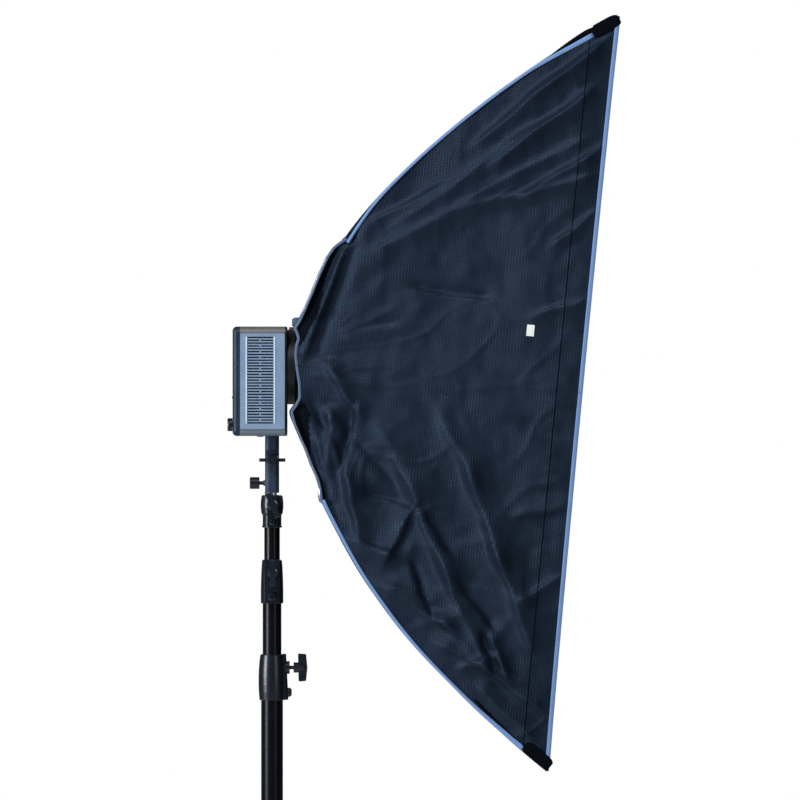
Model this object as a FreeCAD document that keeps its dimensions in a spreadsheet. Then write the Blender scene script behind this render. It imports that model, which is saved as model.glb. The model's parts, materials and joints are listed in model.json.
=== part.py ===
"""Strip softbox on a studio light head, carried by a four-section stand.

The frame is +Z up with its origin on the floor under the stand's column. The softbox
faces +X. All lengths are millimetres.
"""

import FreeCAD, Part
import math
import os
import Sketcher
from FreeCAD import Matrix, Placement, Rotation, Vector

os.makedirs("parts", exist_ok=True)
doc = FreeCAD.newDocument("StripSoftbox")

X_AXIS = Vector(1, 0, 0)
Y_AXIS = Vector(0, 1, 0)
Z_AXIS = Vector(0, 0, 1)
ALONG = {
    "X": Rotation(Y_AXIS, 90),
    "-X": Rotation(Y_AXIS, -90),
    "Y": Rotation(X_AXIS, -90),
    "-Y": Rotation(X_AXIS, 90),
    "Z": Rotation(),
}

# ---------------------------------------------------------------- driving dimensions

DIMENSIONS = {
    # heights of the column, from the floor
    "optic_height": 1700,
    "tilt_height": 1551,
    "spigot_shoulder": 1494.5,
    "base_height": 95,
    # telescopic tubes: outer radii and wall
    "outer_tube_radius": 17.5,
    "second_tube_radius": 15,
    "third_tube_radius": 12.5,
    "top_tube_radius": 10,
    "tube_wall": 1.5,
    "tube_length": 1000,
    "sliding_gap": 0.05,
    # clamp collars
    "collar_c_low": 1166,
    "collar_c_tall": 73.5,
    "collar_b_low": 1321,
    "collar_b_tall": 70,
    "collar_a_low": 1442.5,
    "collar_a_tall": 52,
    # spigot, as on any studio stand
    "spigot_radius": 8,
    "spigot_tall": 38,
    # tripod
    "leg_pivot_height": 520,
    "leg_pivot_out": 54,
    "leg_slope": 45,
    "leg_radius": 11,
    "foot_radius": 16,
    "foot_lift": 12,
    "strut_reach": 400,
    "strut_base_out": 28,
    "strut_base_height": 120,
    "strut_thick": 3,
    "strut_wide": 14,
    "pin_radius": 3,
    # bracket
    "bracket_wide": 22.5,
    "bracket_deep": 34,
    "tongue_deep": 15,
    "tilt_pin_radius": 4,
    "bracket_bevel": 5.5,
    "neck_deep": 30,
    "clamp_screw_down": 37,
    # light head
    "head_rear": -63,
    "head_front": 24,
    "head_above": 64.5,
    "head_below": 110.5,
    "head_wide": 116,
    "head_corner": 11,
    "head_wall": 2,
    "rear_cover_thick": 11,
    "bezel_thick": 4,
    "collar_radius": 60,
    "collar_long": 15,
    "mouth_radius": 49,
    "louvre_pitch": 4.55,
    "louvre_low": -90.6,
    "louvre_open": 2.2,
    "louvre_back": -40,
    "louvre_front": 1,
    "dial_height": -92.5,
    # speed ring and its hinges
    "ring_back": 41,
    "ring_thick": 15,
    "ring_outer": 68,
    "ring_bore": 54.05,
    "hinge_side": 46,
    "hinge_out": 72,
    "hinge_forward": 50,
    "hinge_pin_radius": 1.8,
    # softbox
    "box_back": 40,
    "box_tilt": 5.4,
    "box_depth": 457,
    "box_half_tall": 606,
    "box_half_wide": 150,
    "box_root_half_wide": 76,
    "cloth_thick": 2,
    "lip_deep": 45,
    "rod_radius": 2.5,
    "rod_inset": 10,
    "baffle_depth": 250,
    "soft_gap": 0.4,
}

sheet = doc.addObject("Spreadsheet::Sheet", "Sizes")
for row, (alias, amount) in enumerate(DIMENSIONS.items(), start=1):
    sheet.set(f"A{row}", alias)
    sheet.set(f"B{row}", str(amount))
    sheet.setAlias(f"B{row}", alias)
doc.recompute()


class Size:
    """A number together with the sheet expression that gives it."""

    def __init__(self, value, text):
        self.value = float(value)
        self.text = text

    def __add__(self, other):
        return Size(self.value + number(other), f"({self.text} + {words(other)})")

    def __radd__(self, other):
        return Size(number(other) + self.value, f"({words(other)} + {self.text})")

    def __sub__(self, other):
        return Size(self.value - number(other), f"({self.text} - {words(other)})")

    def __rsub__(self, other):
        return Size(number(other) - self.value, f"({words(other)} - {self.text})")

    def __mul__(self, other):
        return Size(self.value * number(other), f"({self.text} * {words(other)})")

    def __rmul__(self, other):
        return Size(number(other) * self.value, f"({words(other)} * {self.text})")

    def __truediv__(self, other):
        return Size(self.value / number(other), f"({self.text} / {words(other)})")

    def __neg__(self):
        return Size(-self.value, f"(0 - {self.text})")

    def __float__(self):
        return self.value


def number(size):
    return size.value if isinstance(size, Size) else float(size)


def words(size):
    return size.text if isinstance(size, Size) else f"({float(size)})"


class Sheet:
    """Reads a driving dimension by its alias."""

    def __getattr__(self, alias):
        return Size(sheet.get(alias), f"Sizes.{alias}")


s = Sheet()

# ---------------------------------------------------------------- making pieces

nodes = []


def node(name, shape_object):
    """Marks an object of the document as a sub-part that is written to its own file."""
    shape_object.Label = name
    nodes.append(shape_object)
    return shape_object


def bind(thing, field, size):
    if isinstance(size, Size):
        thing.setExpression(field, size.text)
    else:
        setattr(thing, field, size)


placed = {}


def put(thing, at=(0, 0, 0), turn=None):
    """Gives an object its place: numbers at once, and sheet sizes as expressions."""
    turn = turn or Rotation()
    placed[thing.Name] = (at, turn)
    thing.Placement = Placement(Vector(*[number(v) for v in at]), turn)
    for letter, value in zip("xyz", at):
        text = value.text if isinstance(value, Size) else None
        thing.setExpression(f"Placement.Base.{letter}", text)
    return thing


def spun(thing, degrees):
    """Turns a placed object about the column."""
    (x, y, z), turn = placed.get(thing.Name, ((0, 0, 0), Rotation()))
    along, across = math.cos(math.radians(degrees)), math.sin(math.radians(degrees))
    at = (x * along - y * across, x * across + y * along, z)
    return put(thing, at, Rotation(Z_AXIS, degrees).multiply(turn))


def rod(radius, length, at=(0, 0, 0), along="Z"):
    """A round bar that starts at a point and runs along an axis."""
    piece = doc.addObject("Part::Cylinder", "Rod")
    bind(piece, "Radius", radius)
    bind(piece, "Height", length)
    return put(piece, at, ALONG[along])


def cone(low_radius, high_radius, length, at=(0, 0, 0), along="Z"):
    piece = doc.addObject("Part::Cone", "Cone")
    bind(piece, "Radius1", low_radius)
    bind(piece, "Radius2", high_radius)
    bind(piece, "Height", length)
    return put(piece, at, ALONG[along])


def ball(radius, at):
    piece = doc.addObject("Part::Sphere", "Ball")
    bind(piece, "Radius", radius)
    return put(piece, at)


def block(low, high, turn=None):
    """A box between two corners; each corner is a list of three sizes."""
    piece = doc.addObject("Part::Box", "Block")
    for field, a, b in zip(("Length", "Width", "Height"), low, high):
        bind(piece, field, b - a)
    return put(piece, low, turn)


def cut(base, *tools):
    tool = tools[0] if len(tools) == 1 else fuse(*tools)
    piece = doc.addObject("Part::Cut", "Cut")
    piece.Base = base
    piece.Tool = tool
    return piece


def fuse(*parts):
    piece = doc.addObject("Part::MultiFuse", "Fuse")
    piece.Shapes = list(parts)
    return piece


def common(*parts):
    piece = doc.addObject("Part::MultiCommon", "Common")
    piece.Shapes = list(parts)
    return piece


def sketched(body, role, points):
    """A closed outline on one of the body's origin planes, each corner held by the sheet."""
    sketch = body.newObject("Sketcher::SketchObject", "Outline")
    plane = [p for p in body.Origin.OriginFeatures if p.Role == role][0]
    sketch.AttachmentSupport = (plane, [""])
    sketch.MapMode = "FlatFace"
    flat = [Vector(number(a), number(b), 0) for a, b in points]
    count = len(flat)
    for i in range(count):
        sketch.addGeometry(Part.LineSegment(flat[i], flat[(i + 1) % count]))
    for i in range(count):
        sketch.addConstraint(Sketcher.Constraint("Coincident", i, 2, (i + 1) % count, 1))
    for i, (a, b) in enumerate(points):
        for kind, size in (("DistanceX", a), ("DistanceY", b)):
            held = sketch.addConstraint(Sketcher.Constraint(kind, -1, 1, i, 1, number(size)))
            if isinstance(size, Size):
                sketch.setExpression(f"Constraints[{held}]", size.text)
    return sketch


def turned(points, at=(0, 0, 0), along="Z"):
    """A PartDesign body turned about its own Z axis from (radius, height) corners."""
    body = doc.addObject("PartDesign::Body", "Turned")
    outline = sketched(body, "XZ_Plane", points)
    spin = body.newObject("PartDesign::Revolution", "Turn")
    spin.Profile = outline
    spin.ReferenceAxis = (outline, ["V_Axis"])
    spin.Angle = 360
    return put(body, at, ALONG[along])


def padded(points, thick, at=(0, 0, 0), role="XZ_Plane", turn=None, corner=None):
    """A PartDesign body padded evenly to both sides of an origin plane."""
    body = doc.addObject("PartDesign::Body", "Padded")
    outline = sketched(body, role, points)
    pad = body.newObject("PartDesign::Pad", "Pad")
    pad.Profile = outline
    pad.SideType = "Symmetric"
    bind(pad, "Length", thick)
    doc.recompute()
    if corner is not None:
        side = {"XZ_Plane": 1, "XY_Plane": 2, "YZ_Plane": 0}[role]
        edges = [
            f"Edge{i}"
            for i, e in enumerate(pad.Shape.Edges, start=1)
            if abs(abs(e.tangentAt(e.FirstParameter)[side]) - 1) < 1e-6
        ]
        rounding = body.newObject("PartDesign::Fillet", "Corners")
        rounding.Base = (pad, edges)
        bind(rounding, "Radius", corner)
    return put(body, at, turn)


def drawn(name, shape):
    """A piece whose form is drawn with Part's own functions."""
    piece = doc.addObject("Part::Feature", name)
    piece.Shape = shape
    return piece


def box_outline(low_a, low_b, high_a, high_b):
    return [(low_a, low_b), (high_a, low_b), (high_a, high_b), (low_a, high_b)]


# ---------------------------------------------------------------- stand: tubes and collars


def tube(name, radius, low, length):
    wall = s.tube_wall
    ring = [(radius - wall, 0), (radius, 0), (radius, length), (radius - wall, length)]
    return node(name, turned(ring, (0, 0, low)))


def wing_knob(reach, hub_radius, wing_span, at, along, turn=0):
    """A hand screw along its own axis: shank, hub and two thick wings."""
    half = wing_span / 2
    shank = rod(3, reach + 2)
    hub = turned(
        [(0, reach), (hub_radius - 1, reach), (hub_radius, reach + 1), (hub_radius - 0.5, reach + 9),
         (hub_radius - 2, reach + 16), (hub_radius - 4, reach + 20), (0, reach + 20)]
    )
    wings = padded(
        [
            (-half, reach + 7), (half, reach + 8), (half - 1, reach + 20), (0, reach + 22), (1 - half, reach + 20),
        ],
        9, corner=2,
    )
    piece = fuse(shank, hub, wings)
    return put(piece, at, ALONG[along].multiply(Rotation(Z_AXIS, turn)))


def barrel(radii, tall):
    """The bulged outline of a collar, from its bottom radius by its middle one to its top one."""
    bottom, middle, top = radii
    points = [(bottom - 1, 0), (bottom, 1)]
    for step in range(1, 6):
        share = step / 6
        radius = bottom * (1 - share) * (1 - 2 * share)
        radius += middle * 4 * share * (1 - share) + top * share * (2 * share - 1)
        points.append((radius, tall * share))
    return points + [(top, tall - 1.5), (top - 1.5, tall)]


def necked(radii, tall):
    """A collar outline with a flange at the bottom, a neck and a bulged upper half."""
    neck, middle, top = radii
    return [
        (neck + 0.2, 0), (neck + 1, 0.8), (neck + 1, 2.8), (neck, 3.8), (neck, tall * 0.38),
        (middle - 1, tall * 0.45), (middle, tall * 0.62), (middle, tall * 0.78),
        (top, tall - 1.5), (top - 1.5, tall),
    ]


def clamp_collar(name, low, tall, bores, outline, lug, boss_along, split):
    """A moulded collar fixed on one tube, with a running bore for the next one and a split clamp lug."""
    lower_bore, upper_bore = bores
    reach, wide, boss_radius, bolt_radius = lug
    inside = [(upper_bore, tall), (upper_bore, tall * split), (lower_bore, tall * split)]
    shell = turned([(lower_bore, 0)] + outline + inside, (0, 0, low))
    # two clamp flanges side by side, one a little longer
    flanges = []
    for middle, thick, out in ((-wide * 0.29, wide * 0.42, reach - 3.6), (wide * 0.22, wide * 0.56, reach)):
        flange = padded(
            [
                (upper_bore + 2, 0.5), (out + 3.4, 0.5), (out + 3.4, 6),
                (out, tall + 0.5), (upper_bore + 2, tall + 0.5),
            ],
            thick, corner=0.4,
        )
        put(flange, (0, middle, low))
        flanges.append(spun(flange, boss_along))
    bore = rod(upper_bore, tall + 10, (0, 0, low + tall * split))
    foot_bore = rod(lower_bore, tall * split, (0, 0, low))
    screw_height = low + tall * 0.71
    boss = spun(rod(boss_radius, 7.6, (reach - 2, 0, screw_height), "X"), boss_along)
    screw_way = spun(rod(3.05, 40, (upper_bore + 1, 0, screw_height), "X"), boss_along)
    bolt = turned(
        [(0, 0), (bolt_radius, 0), (bolt_radius, 3.5), (bolt_radius - 2, 6.4), (1.8, 6.6), (1.8, 4), (0, 4)],
        (reach + 2.4, 0, low + tall * 0.17), "X",
    )
    bodywork = cut(fuse(shell, boss, *flanges), bore, foot_bore, screw_way)
    return node(name, fuse(bodywork, spun(bolt, boss_along)))


def collar_knob(name, low, tall, upper_bore, reach, boss_along, turn=0):
    """The hand screw of a clamp collar, clear of the tube it presses on."""
    start = upper_bore + 1.5
    screw = wing_knob(reach + 12 - start, 8.5, 45, (start, 0, low + tall * 0.71), "X", turn)
    return node(name, spun(screw, boss_along))


def column():
    gap = s.sliding_gap
    outer, second, third, top = (
        s.outer_tube_radius, s.second_tube_radius, s.third_tube_radius, s.top_tube_radius,
    )
    tube("outer_tube", outer, s.base_height, s.collar_c_low + 20 - s.base_height)
    tube("section_2_tube", second, s.collar_b_low + 20 - s.tube_length, s.tube_length)
    tube("section_3_tube", third, s.collar_a_low + 18 - s.tube_length, s.tube_length)
    tube("section_4_tube", top, s.spigot_shoulder - 6 - s.tube_length, s.tube_length)
    low_c, tall_c = s.collar_c_low, s.collar_c_tall
    low_b, tall_b = s.collar_b_low, s.collar_b_tall
    low_a, tall_a = s.collar_a_low, s.collar_a_tall
    outline_c = barrel((20.2, 21.6, 19), number(tall_c))
    outline_b = barrel((18, 17.8, 16), number(tall_b))
    outline_a = necked((15, 18.2, 17), number(tall_a))
    clamp_collar("collar_c", low_c, tall_c, (outer, second + gap), outline_c, (22.6, 24, 10.3, 7.4), 0, 0.28)
    clamp_collar("collar_b", low_b, tall_b, (second, third + gap), outline_b, (20, 24, 10.3, 7.4), -90, 0.3)
    clamp_collar("collar_a", low_a, tall_a, (third, top + gap), outline_a, (19, 16, 8.6, 5), -90, 0.36)
    collar_knob("collar_c_knob", low_c, tall_c, second + gap, 22.6, 0)
    collar_knob("collar_b_knob", low_b, tall_b, third + gap, 20, -90)
    collar_knob("collar_a_knob", low_a, tall_a, top + gap, 19, -90, 22.5)
    low = s.spigot_shoulder
    spigot = turned(
        [(0, -30), (top - s.tube_wall, -30), (top - s.tube_wall, -6), (top, -6), (top, 0.5),
         (s.spigot_radius, 0.5), (s.spigot_radius, 14), (s.spigot_radius - 1.5, 16),
         (s.spigot_radius - 1.5, 22), (s.spigot_radius, 24),
         (s.spigot_radius, s.spigot_tall - 1), (s.spigot_radius - 1, s.spigot_tall),
         (0, s.spigot_tall)],
        (0, 0, low),
    )
    node("spigot", spigot)


# ---------------------------------------------------------------- stand: tripod

LEG_TURNS = (0, 120, 240)


def leg_length():
    """From the leg's pivot to the centre of its foot's ball."""
    drop = number(s.leg_pivot_height) - number(s.foot_lift)
    return drop / math.cos(math.radians(number(s.leg_slope)))


def strut_ends():
    """The strut's two pivots as (out, height)."""
    slope = math.radians(number(s.leg_slope))
    reach = number(s.strut_reach)
    on_leg = (
        number(s.leg_pivot_out) + reach * math.sin(slope),
        number(s.leg_pivot_height) - reach * math.cos(slope),
    )
    on_base = (number(s.strut_base_out), number(s.strut_base_height))
    return on_base, on_leg


def tripod_collars():
    outer = s.outer_tube_radius
    out = s.leg_pivot_out
    # base collar, fixed under the tube, with one ear for each strut
    base = turned([(outer, 0), (22, 0), (24, 3), (24, 37), (22, 40), (outer, 40)], (0, 0, s.base_height))
    plug = turned([(0, -6), (22, -6), (24, -2), (24, 0), (0, 0)], (0, 0, s.base_height))
    ear_half = s.leg_radius + 1.2
    ears = []
    for turn in LEG_TURNS:
        ear = padded(box_outline(21, -8, s.strut_base_out + 8, 8), ear_half * 2, corner=4)
        put(ear, (0, 0, s.strut_base_height))
        ears.append(spun(ear, turn))
    bores = []
    for turn in LEG_TURNS:
        bore = rod(s.pin_radius + 0.05, 40, (s.strut_base_out, -20, s.strut_base_height), "Y")
        bores.append(spun(bore, turn))
    node("base_collar", cut(fuse(base, plug, *ears), *bores))

    # sliding leg collar, with a fork for each leg
    sleeve = turned(
        [(outer + s.sliding_gap, -40), (25, -40), (27, -36), (27, 36), (25, 40),
         (outer + s.sliding_gap, 40)],
        (0, 0, s.leg_pivot_height),
    )
    cheeks = []
    for turn in LEG_TURNS:
        for side in (-1, 1):
            middle = side * (number(s.leg_radius) + 3.2)
            cheek = padded(box_outline(18, -10, out + 9, 10), 5, corner=5)
            put(cheek, (0, middle, s.leg_pivot_height))
            cheeks.append(spun(cheek, turn))
    hole = rod(outer + s.sliding_gap, 100, (0, 0, s.leg_pivot_height - 50))
    knob_boss = spun(rod(9, 16, (20, 0, s.leg_pivot_height + 22), "X"), 60)
    screw_way = spun(rod(3.05, 40, (outer, 0, s.leg_pivot_height + 22), "X"), 60)
    pin_ways = []
    for turn in LEG_TURNS:
        pin_ways.append(spun(rod(s.pin_radius, 60, (out, -30, s.leg_pivot_height), "Y"), turn))
    node("leg_collar", cut(fuse(sleeve, knob_boss, *cheeks), hole, screw_way, *pin_ways))
    knob = wing_knob(38 - number(outer), 10, 38, (outer + 1, 0, s.leg_pivot_height + 22), "X")
    node("leg_collar_knob", spun(knob, 60))
    pins = []
    for turn in LEG_TURNS:
        pin = rod(s.pin_radius, 36, (out, -18, s.leg_pivot_height), "Y")
        head_low = rod(5, 2, (out, -20, s.leg_pivot_height), "Y")
        head_high = rod(5, 2, (out, 18, s.leg_pivot_height), "Y")
        pins.append(spun(fuse(pin, head_low, head_high), turn))
    node("leg_pins", fuse(*pins))


def leg(index, turn):
    """A tube leg with its rubber foot, built hanging straight and then swung out."""
    length = leg_length()
    swing = Placement(
        Vector(number(s.leg_pivot_out), 0, number(s.leg_pivot_height)),
        Rotation(Y_AXIS, -number(s.leg_slope)),
    )
    turned_about = Placement(Vector(), Rotation(Z_AXIS, turn))
    place = turned_about.multiply(swing)
    wall = s.tube_wall
    shank = rod(s.leg_radius, length + 13 - 8, (0, 0, -length + 8))
    hollow = rod(s.leg_radius - wall, length - 24, (0, 0, -length + 4))
    bore = rod(s.pin_radius + 0.05, 40, (0, -20, 0), "Y")
    tube_leg = node(f"leg_tube_{index}", cut(shank, hollow, bore))
    tube_leg.Placement = place

    upper = turned(
        [(s.leg_radius, -length + 8), (s.foot_radius - 1, -length + 8), (s.foot_radius - 2, -length + 44),
         (s.leg_radius, -length + 46)]
    )
    lower = rod(s.foot_radius - 1, 8, (0, 0, -length))
    heel = ball(s.foot_radius, (0, 0, -length))
    socket = rod(s.leg_radius, 60, (0, 0, -length + 8))
    rubber = cut(fuse(upper, lower, heel), socket)
    rubber.Placement = place
    ground = block((-700, -700, 0), (700, 700, 200))
    node(f"leg_foot_{index}", common(rubber, ground))


def strut(index, turn):
    """Two flat bars astride the leg, joined by the rivet through the base collar's ear."""
    (out0, up0), (out1, up1) = strut_ends()
    length = math.hypot(out1 - out0, up1 - up0)
    slope = math.degrees(math.atan2(up1 - up0, out1 - out0))
    half = s.strut_wide / 2
    bars = []
    for side in (-1, 1):
        bar = padded(
            box_outline(-7, -half, length + 7, half), s.strut_thick, corner=half - 0.5
        )
        gap = s.leg_radius + 1.5 + s.strut_thick / 2
        put(bar, (0, side * gap, 0))
        bars.append(bar)
    rivet_half = s.leg_radius + 3 + s.strut_thick
    rivet = rod(s.pin_radius, rivet_half * 2, (0, -rivet_half, 0), "Y")
    caps = []
    for side in (-1, 1):
        caps.append(rod(5, 2, (length, side * number(s.leg_radius + 4.5) - 1, 0), "Y"))
    piece = node(f"strut_{index}", fuse(rivet, *bars, *caps))
    lift = Placement(Vector(out0, 0, up0), Rotation(Y_AXIS, -slope))
    piece.Placement = Placement(Vector(), Rotation(Z_AXIS, turn)).multiply(lift)


# ---------------------------------------------------------------- bracket


def bevelled_bar(half, deep, low, high):
    """An upright bar with bevelled corners."""
    bevel = s.bracket_bevel
    side = deep / 2
    outline = [
        (bevel - half, -side), (half - bevel, -side), (half, bevel - side), (half, side - bevel),
        (half - bevel, side), (bevel - half, side), (-half, side - bevel), (-half, bevel - side),
    ]
    bar = padded(outline, high - low, role="XY_Plane")
    return put(bar, (0, 0, (low + high) / 2))


def bracket():
    deep = s.bracket_deep
    half = s.bracket_wide / 2
    tilt = s.tilt_height
    tongue = s.tongue_deep
    foot = s.spigot_shoulder + 4
    slot_floor = tilt - half - 1.5
    screw_height = tilt - s.clamp_screw_down
    # lower half: socket for the spigot with two cheeks, round at the top
    bar = bevelled_bar(half, deep, foot, tilt + half)
    side_view = fuse(
        padded(box_outline(-half, foot, half, tilt), deep),
        rod(half, deep, (0, -deep / 2, tilt), "Y"),
    )
    slot = block((-half - 5, -tongue / 2 - 0.05, slot_floor), (half + 5, tongue / 2 + 0.05, tilt + 20))
    socket = rod(s.spigot_radius + 0.05, s.spigot_tall - 2.5, (0, 0, foot - 1))
    pin_way = rod(s.tilt_pin_radius + 0.05, 60, (0, -30, tilt), "Y")
    screw_way = rod(3.05, 20, (-20, 0, screw_height), "X")
    boss = cone(5.5, 4, 4, (1 - half, 0, screw_height), "-X")
    lower = cut(fuse(common(bar, side_view), boss), slot, socket, pin_way, screw_way)
    node("spigot_receiver", lower)
    # upper half: tongue between the cheeks and a bevelled neck up to the head
    floor = s.optic_height - s.head_below
    blade = padded(box_outline(-half, tilt, half, floor - 5), tongue)
    round_end = rod(half, tongue, (0, -tongue / 2, tilt), "Y")
    neck = bevelled_bar(half, s.neck_deep, tilt + 16, floor)
    tongue_way = rod(s.tilt_pin_radius, 40, (0, -20, tilt), "Y")
    node("tilt_tongue", cut(fuse(blade, round_end, neck), tongue_way))
    # tilt handle on the camera side, its bolt goes through all three ears
    bolt = rod(s.tilt_pin_radius, deep + 2, (0, -deep / 2 - 1, tilt), "Y")
    nut = turned([(0, 0), (8, 0), (8, 5), (6, 7), (0, 7)], (0, deep / 2 + 0.3, tilt), "Y")
    node("tilt_bolt", fuse(bolt, nut))
    handle = fuse(
        turned([(0, 0), (10, 0), (10.3, 1), (9.8, 4), (8.6, 5), (8.6, 14), (6.5, 17), (0, 17)]),
        padded([(-21, 7), (21, 7), (21, 15), (8, 12.5), (-8, 12.5), (-21, 15)], 5.5, corner=1.5),
    )
    put(handle, (0, -deep / 2 - 1.3, tilt), Rotation(Z_AXIS, 0).multiply(ALONG["-Y"]))
    node("tilt_handle", handle)
    # hand screw that holds the spigot
    screw = turned(
        [(0, 0), (3, 0), (3, 11.8), (8.5, 11.8), (9.5, 12.8), (9.5, 26.3), (8.5, 27.3), (0, 27.3)],
        (-8.4, 0, screw_height), "-X",
    )
    node("spigot_thumbscrew", screw)


# ---------------------------------------------------------------- light head


def rounded_case(low_x, high_x, inset, corner):
    """A rounded rectangle across the optical axis, padded between two places on X."""
    half = s.head_wide / 2 - inset
    top = s.head_above - inset
    low = -s.head_below + inset
    body = padded(
        box_outline(-half, low, half, top), high_x - low_x, role="YZ_Plane", corner=corner
    )
    return put(body, ((low_x + high_x) / 2, 0, s.optic_height))


def softened(case, low_x, high_x, rounding):
    """A case whose far edges are rounded over, in the side view and from above."""
    half = s.head_wide / 2
    top, low = s.optic_height + s.head_above, s.optic_height - s.head_below
    side_view = padded(box_outline(low_x, low, high_x, top), s.head_wide, corner=rounding)
    plan = padded(box_outline(low_x, -half, high_x, half), top - low, role="XY_Plane", corner=rounding)
    put(plan, (0, 0, (top + low) / 2))
    return common(common(case, side_view), plan)


def head_case():
    rear = s.head_rear + s.rear_cover_thick
    front = s.head_front - s.bezel_thick
    wall = s.head_wall
    corner = s.head_corner
    shell = rounded_case(rear, front, 0, corner)
    hollow = rounded_case(rear - 1, front + 1, wall, corner - wall)
    half = s.head_wide / 2
    centre = s.optic_height
    # side openings behind the louvred plates
    low, high = centre - 95, centre + 52
    left_window = block((rear + 6, -half - 1, low), (front - 4, -half + wall + 1, high))
    right_window = block((rear + 6, half - wall - 1, low), (front - 4, half + 1, high))
    feet = [rod(4.5, 2.5, (-19, side * 30, centre - s.head_below - 1.5)) for side in (-1, 1)]
    node("head_case", cut(fuse(shell, *feet), hollow, left_window, right_window))

    # louvred side plates
    plate_low = centre - s.head_below + s.head_corner
    plate_high = centre + s.head_above - s.head_corner
    rows = 16
    for name, side in (("side_plate_left", -1), ("side_plate_right", 1)):
        y0 = side * (number(half) + 0.75)
        plate = padded(box_outline(rear + 0.5, plate_low, front - 0.5, plate_high), 1.5, corner=3)
        put(plate, (0, y0, 0))
        slots = []
        for row in range(rows):
            z = centre + s.louvre_low + row * 2 * s.louvre_pitch
            back, ahead = s.louvre_back, s.louvre_front
            middle = (back + ahead) / 2
            slots.append(block((back, y0 - 2, z), (ahead, y0 + 2, z + s.louvre_open)))
            shifted = z + s.louvre_pitch
            if row < rows - 1:
                slots.append(block((back, y0 - 2, shifted), (middle - 1.2, y0 + 2, shifted + s.louvre_open)))
                slots.append(block((middle + 1.2, y0 - 2, shifted), (ahead, y0 + 2, shifted + s.louvre_open)))
        node(name, cut(plate, *slots))

    # rear cover with its recess for the controls
    cover = softened(rounded_case(s.head_rear, rear, 0, corner), s.head_rear, rear + 60, 6)
    back = s.head_rear
    panel = block((back - 1, -38, centre - 30), (back + 2, 38, centre + 40))
    dial_way = rod(5.05, 20, (back - 2, 0, centre + s.dial_height), "X")
    switch_way = block((back - 1, 20, centre - 68), (back + 12, 34, centre - 46))
    inlet_way = block((back - 1, -46, centre - 104), (back + 12, -16, centre - 82))
    vents = []
    for row in range(5):
        z = centre - 100 + row * 5
        vents.append(block((back - 1, 16, z), (back + 12, 46, z + 2)))
    node("rear_cover", cut(cover, panel, dial_way, switch_way, inlet_way, *vents))

    # front bezel and the bayonet collar
    bezel = softened(rounded_case(front, s.head_front, 0, corner), front - 60, s.head_front, 3)
    mouth = rod(s.mouth_radius, 40, (front - 5, 0, centre), "X")
    node("front_bezel", cut(bezel, mouth))
    collar = turned(
        [(s.mouth_radius, 0), (s.collar_radius, 0), (s.collar_radius, s.collar_long - 3),
         (s.collar_radius - 2, s.collar_long), (s.mouth_radius, s.collar_long)],
        (s.head_front, 0, centre), "X",
    )
    latch_low = centre + s.mouth_radius - 1
    latch_way = block((s.head_front + 3, -4.1, latch_low), (s.head_front + 12, 4.1, centre + 70))
    node("bayonet_collar", cut(collar, latch_way))
    lever = padded(box_outline(-4.4, 0, 4.4, 12), 8, corner=1)
    put(lever, (s.head_front + 7.5, 0, centre + 52))
    node("bayonet_latch", lever)


def head_works():
    centre = s.optic_height
    rear = s.head_rear
    # finned cooler with the lamp on its front
    plate = block((-14, -44, centre - 44), (-6, 44, centre + 44))
    fins = []
    for row in range(12):
        y = -42 + row * 7.3
        fins.append(block((-34, y, centre - 42), (-14, y + 2.2, centre + 42)))
    node("heat_sink", fuse(plate, *fins))
    lamp = fuse(
        block((-6, -24, centre - 24), (-3.5, 24, centre + 24)),
        rod(18, 1.5, (-3.5, 0, centre), "X"),
    )
    node("lamp_module", lamp)
    dome = turned(
        [(0, 34), (18, 31), (32, 22), (40, 8), (42, 0), (39, 0), (37, 7), (30, 19.5), (17, 28), (0, 31)],
        (-5.9, 0, centre), "X",
    )
    ring = turned([(39, 0), (47, 0), (47, 3), (42.2, 3), (39, 0.5)], (-5.9, 0, centre), "X")
    node("glass_dome", fuse(dome, ring))
    blades = []
    for turn in range(7):
        blade = padded(box_outline(10, -1, 34, 1), 8, role="YZ_Plane")
        around = Rotation(X_AXIS, turn * 360 / 7)
        blades.append(put(blade, (0, 0, 0), around.multiply(Rotation(Y_AXIS, 25))))
    hub = rod(13, 10, (-5, 0, 0), "X")
    fan = fuse(hub, *blades)
    put(fan, (-42, 0, centre))
    node("fan_rotor", fan)
    node("circuit_board", block((-38, -50, centre - 98), (14, 50, centre - 96)))
    # controls on the rear cover
    knob = turned(
        [(0, -8), (5, -8), (5, 0.5), (10.5, 0.5), (10.5, 7), (9.5, 8.5), (0, 8.5)],
        (rear, 0, centre + s.dial_height), "-X",
    )
    node("rear_dial", knob)
    rocker = padded([(-1.5, -9.8), (6, -9.8), (6, 9.8), (-3.5, 9.8), (-0.5, 0)], 13)
    put(rocker, (rear + 2, 27, centre - 57))
    pivot = rod(1.5, 13.8, (rear + 5, 20.1, centre - 57), "Y")
    node("power_switch", fuse(rocker, pivot))
    node("display_window", block((rear + 0.6, -37.5, centre - 29.5), (rear + 2, 37.5, centre + 39.5)))
    inlet = cut(
        block((rear + 0.5, -45.9, centre - 103.9), (rear + 24, -16.1, centre - 82.1)),
        block((rear, -43, centre - 101), (rear + 19, -19, centre - 85)),
    )
    prongs = []
    for y, z in ((-38, -95), (-24, -95), (-31, -90)):
        prongs.append(block((rear + 5, y - 1, centre + z - 2.5), (rear + 20, y + 1, centre + z + 2.5)))
    node("power_inlet", fuse(inlet, *prongs))


# ---------------------------------------------------------------- speed ring

CORNERS = {"top_left": (-1, 1), "top_right": (1, 1), "bottom_left": (-1, -1), "bottom_right": (1, -1)}


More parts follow.
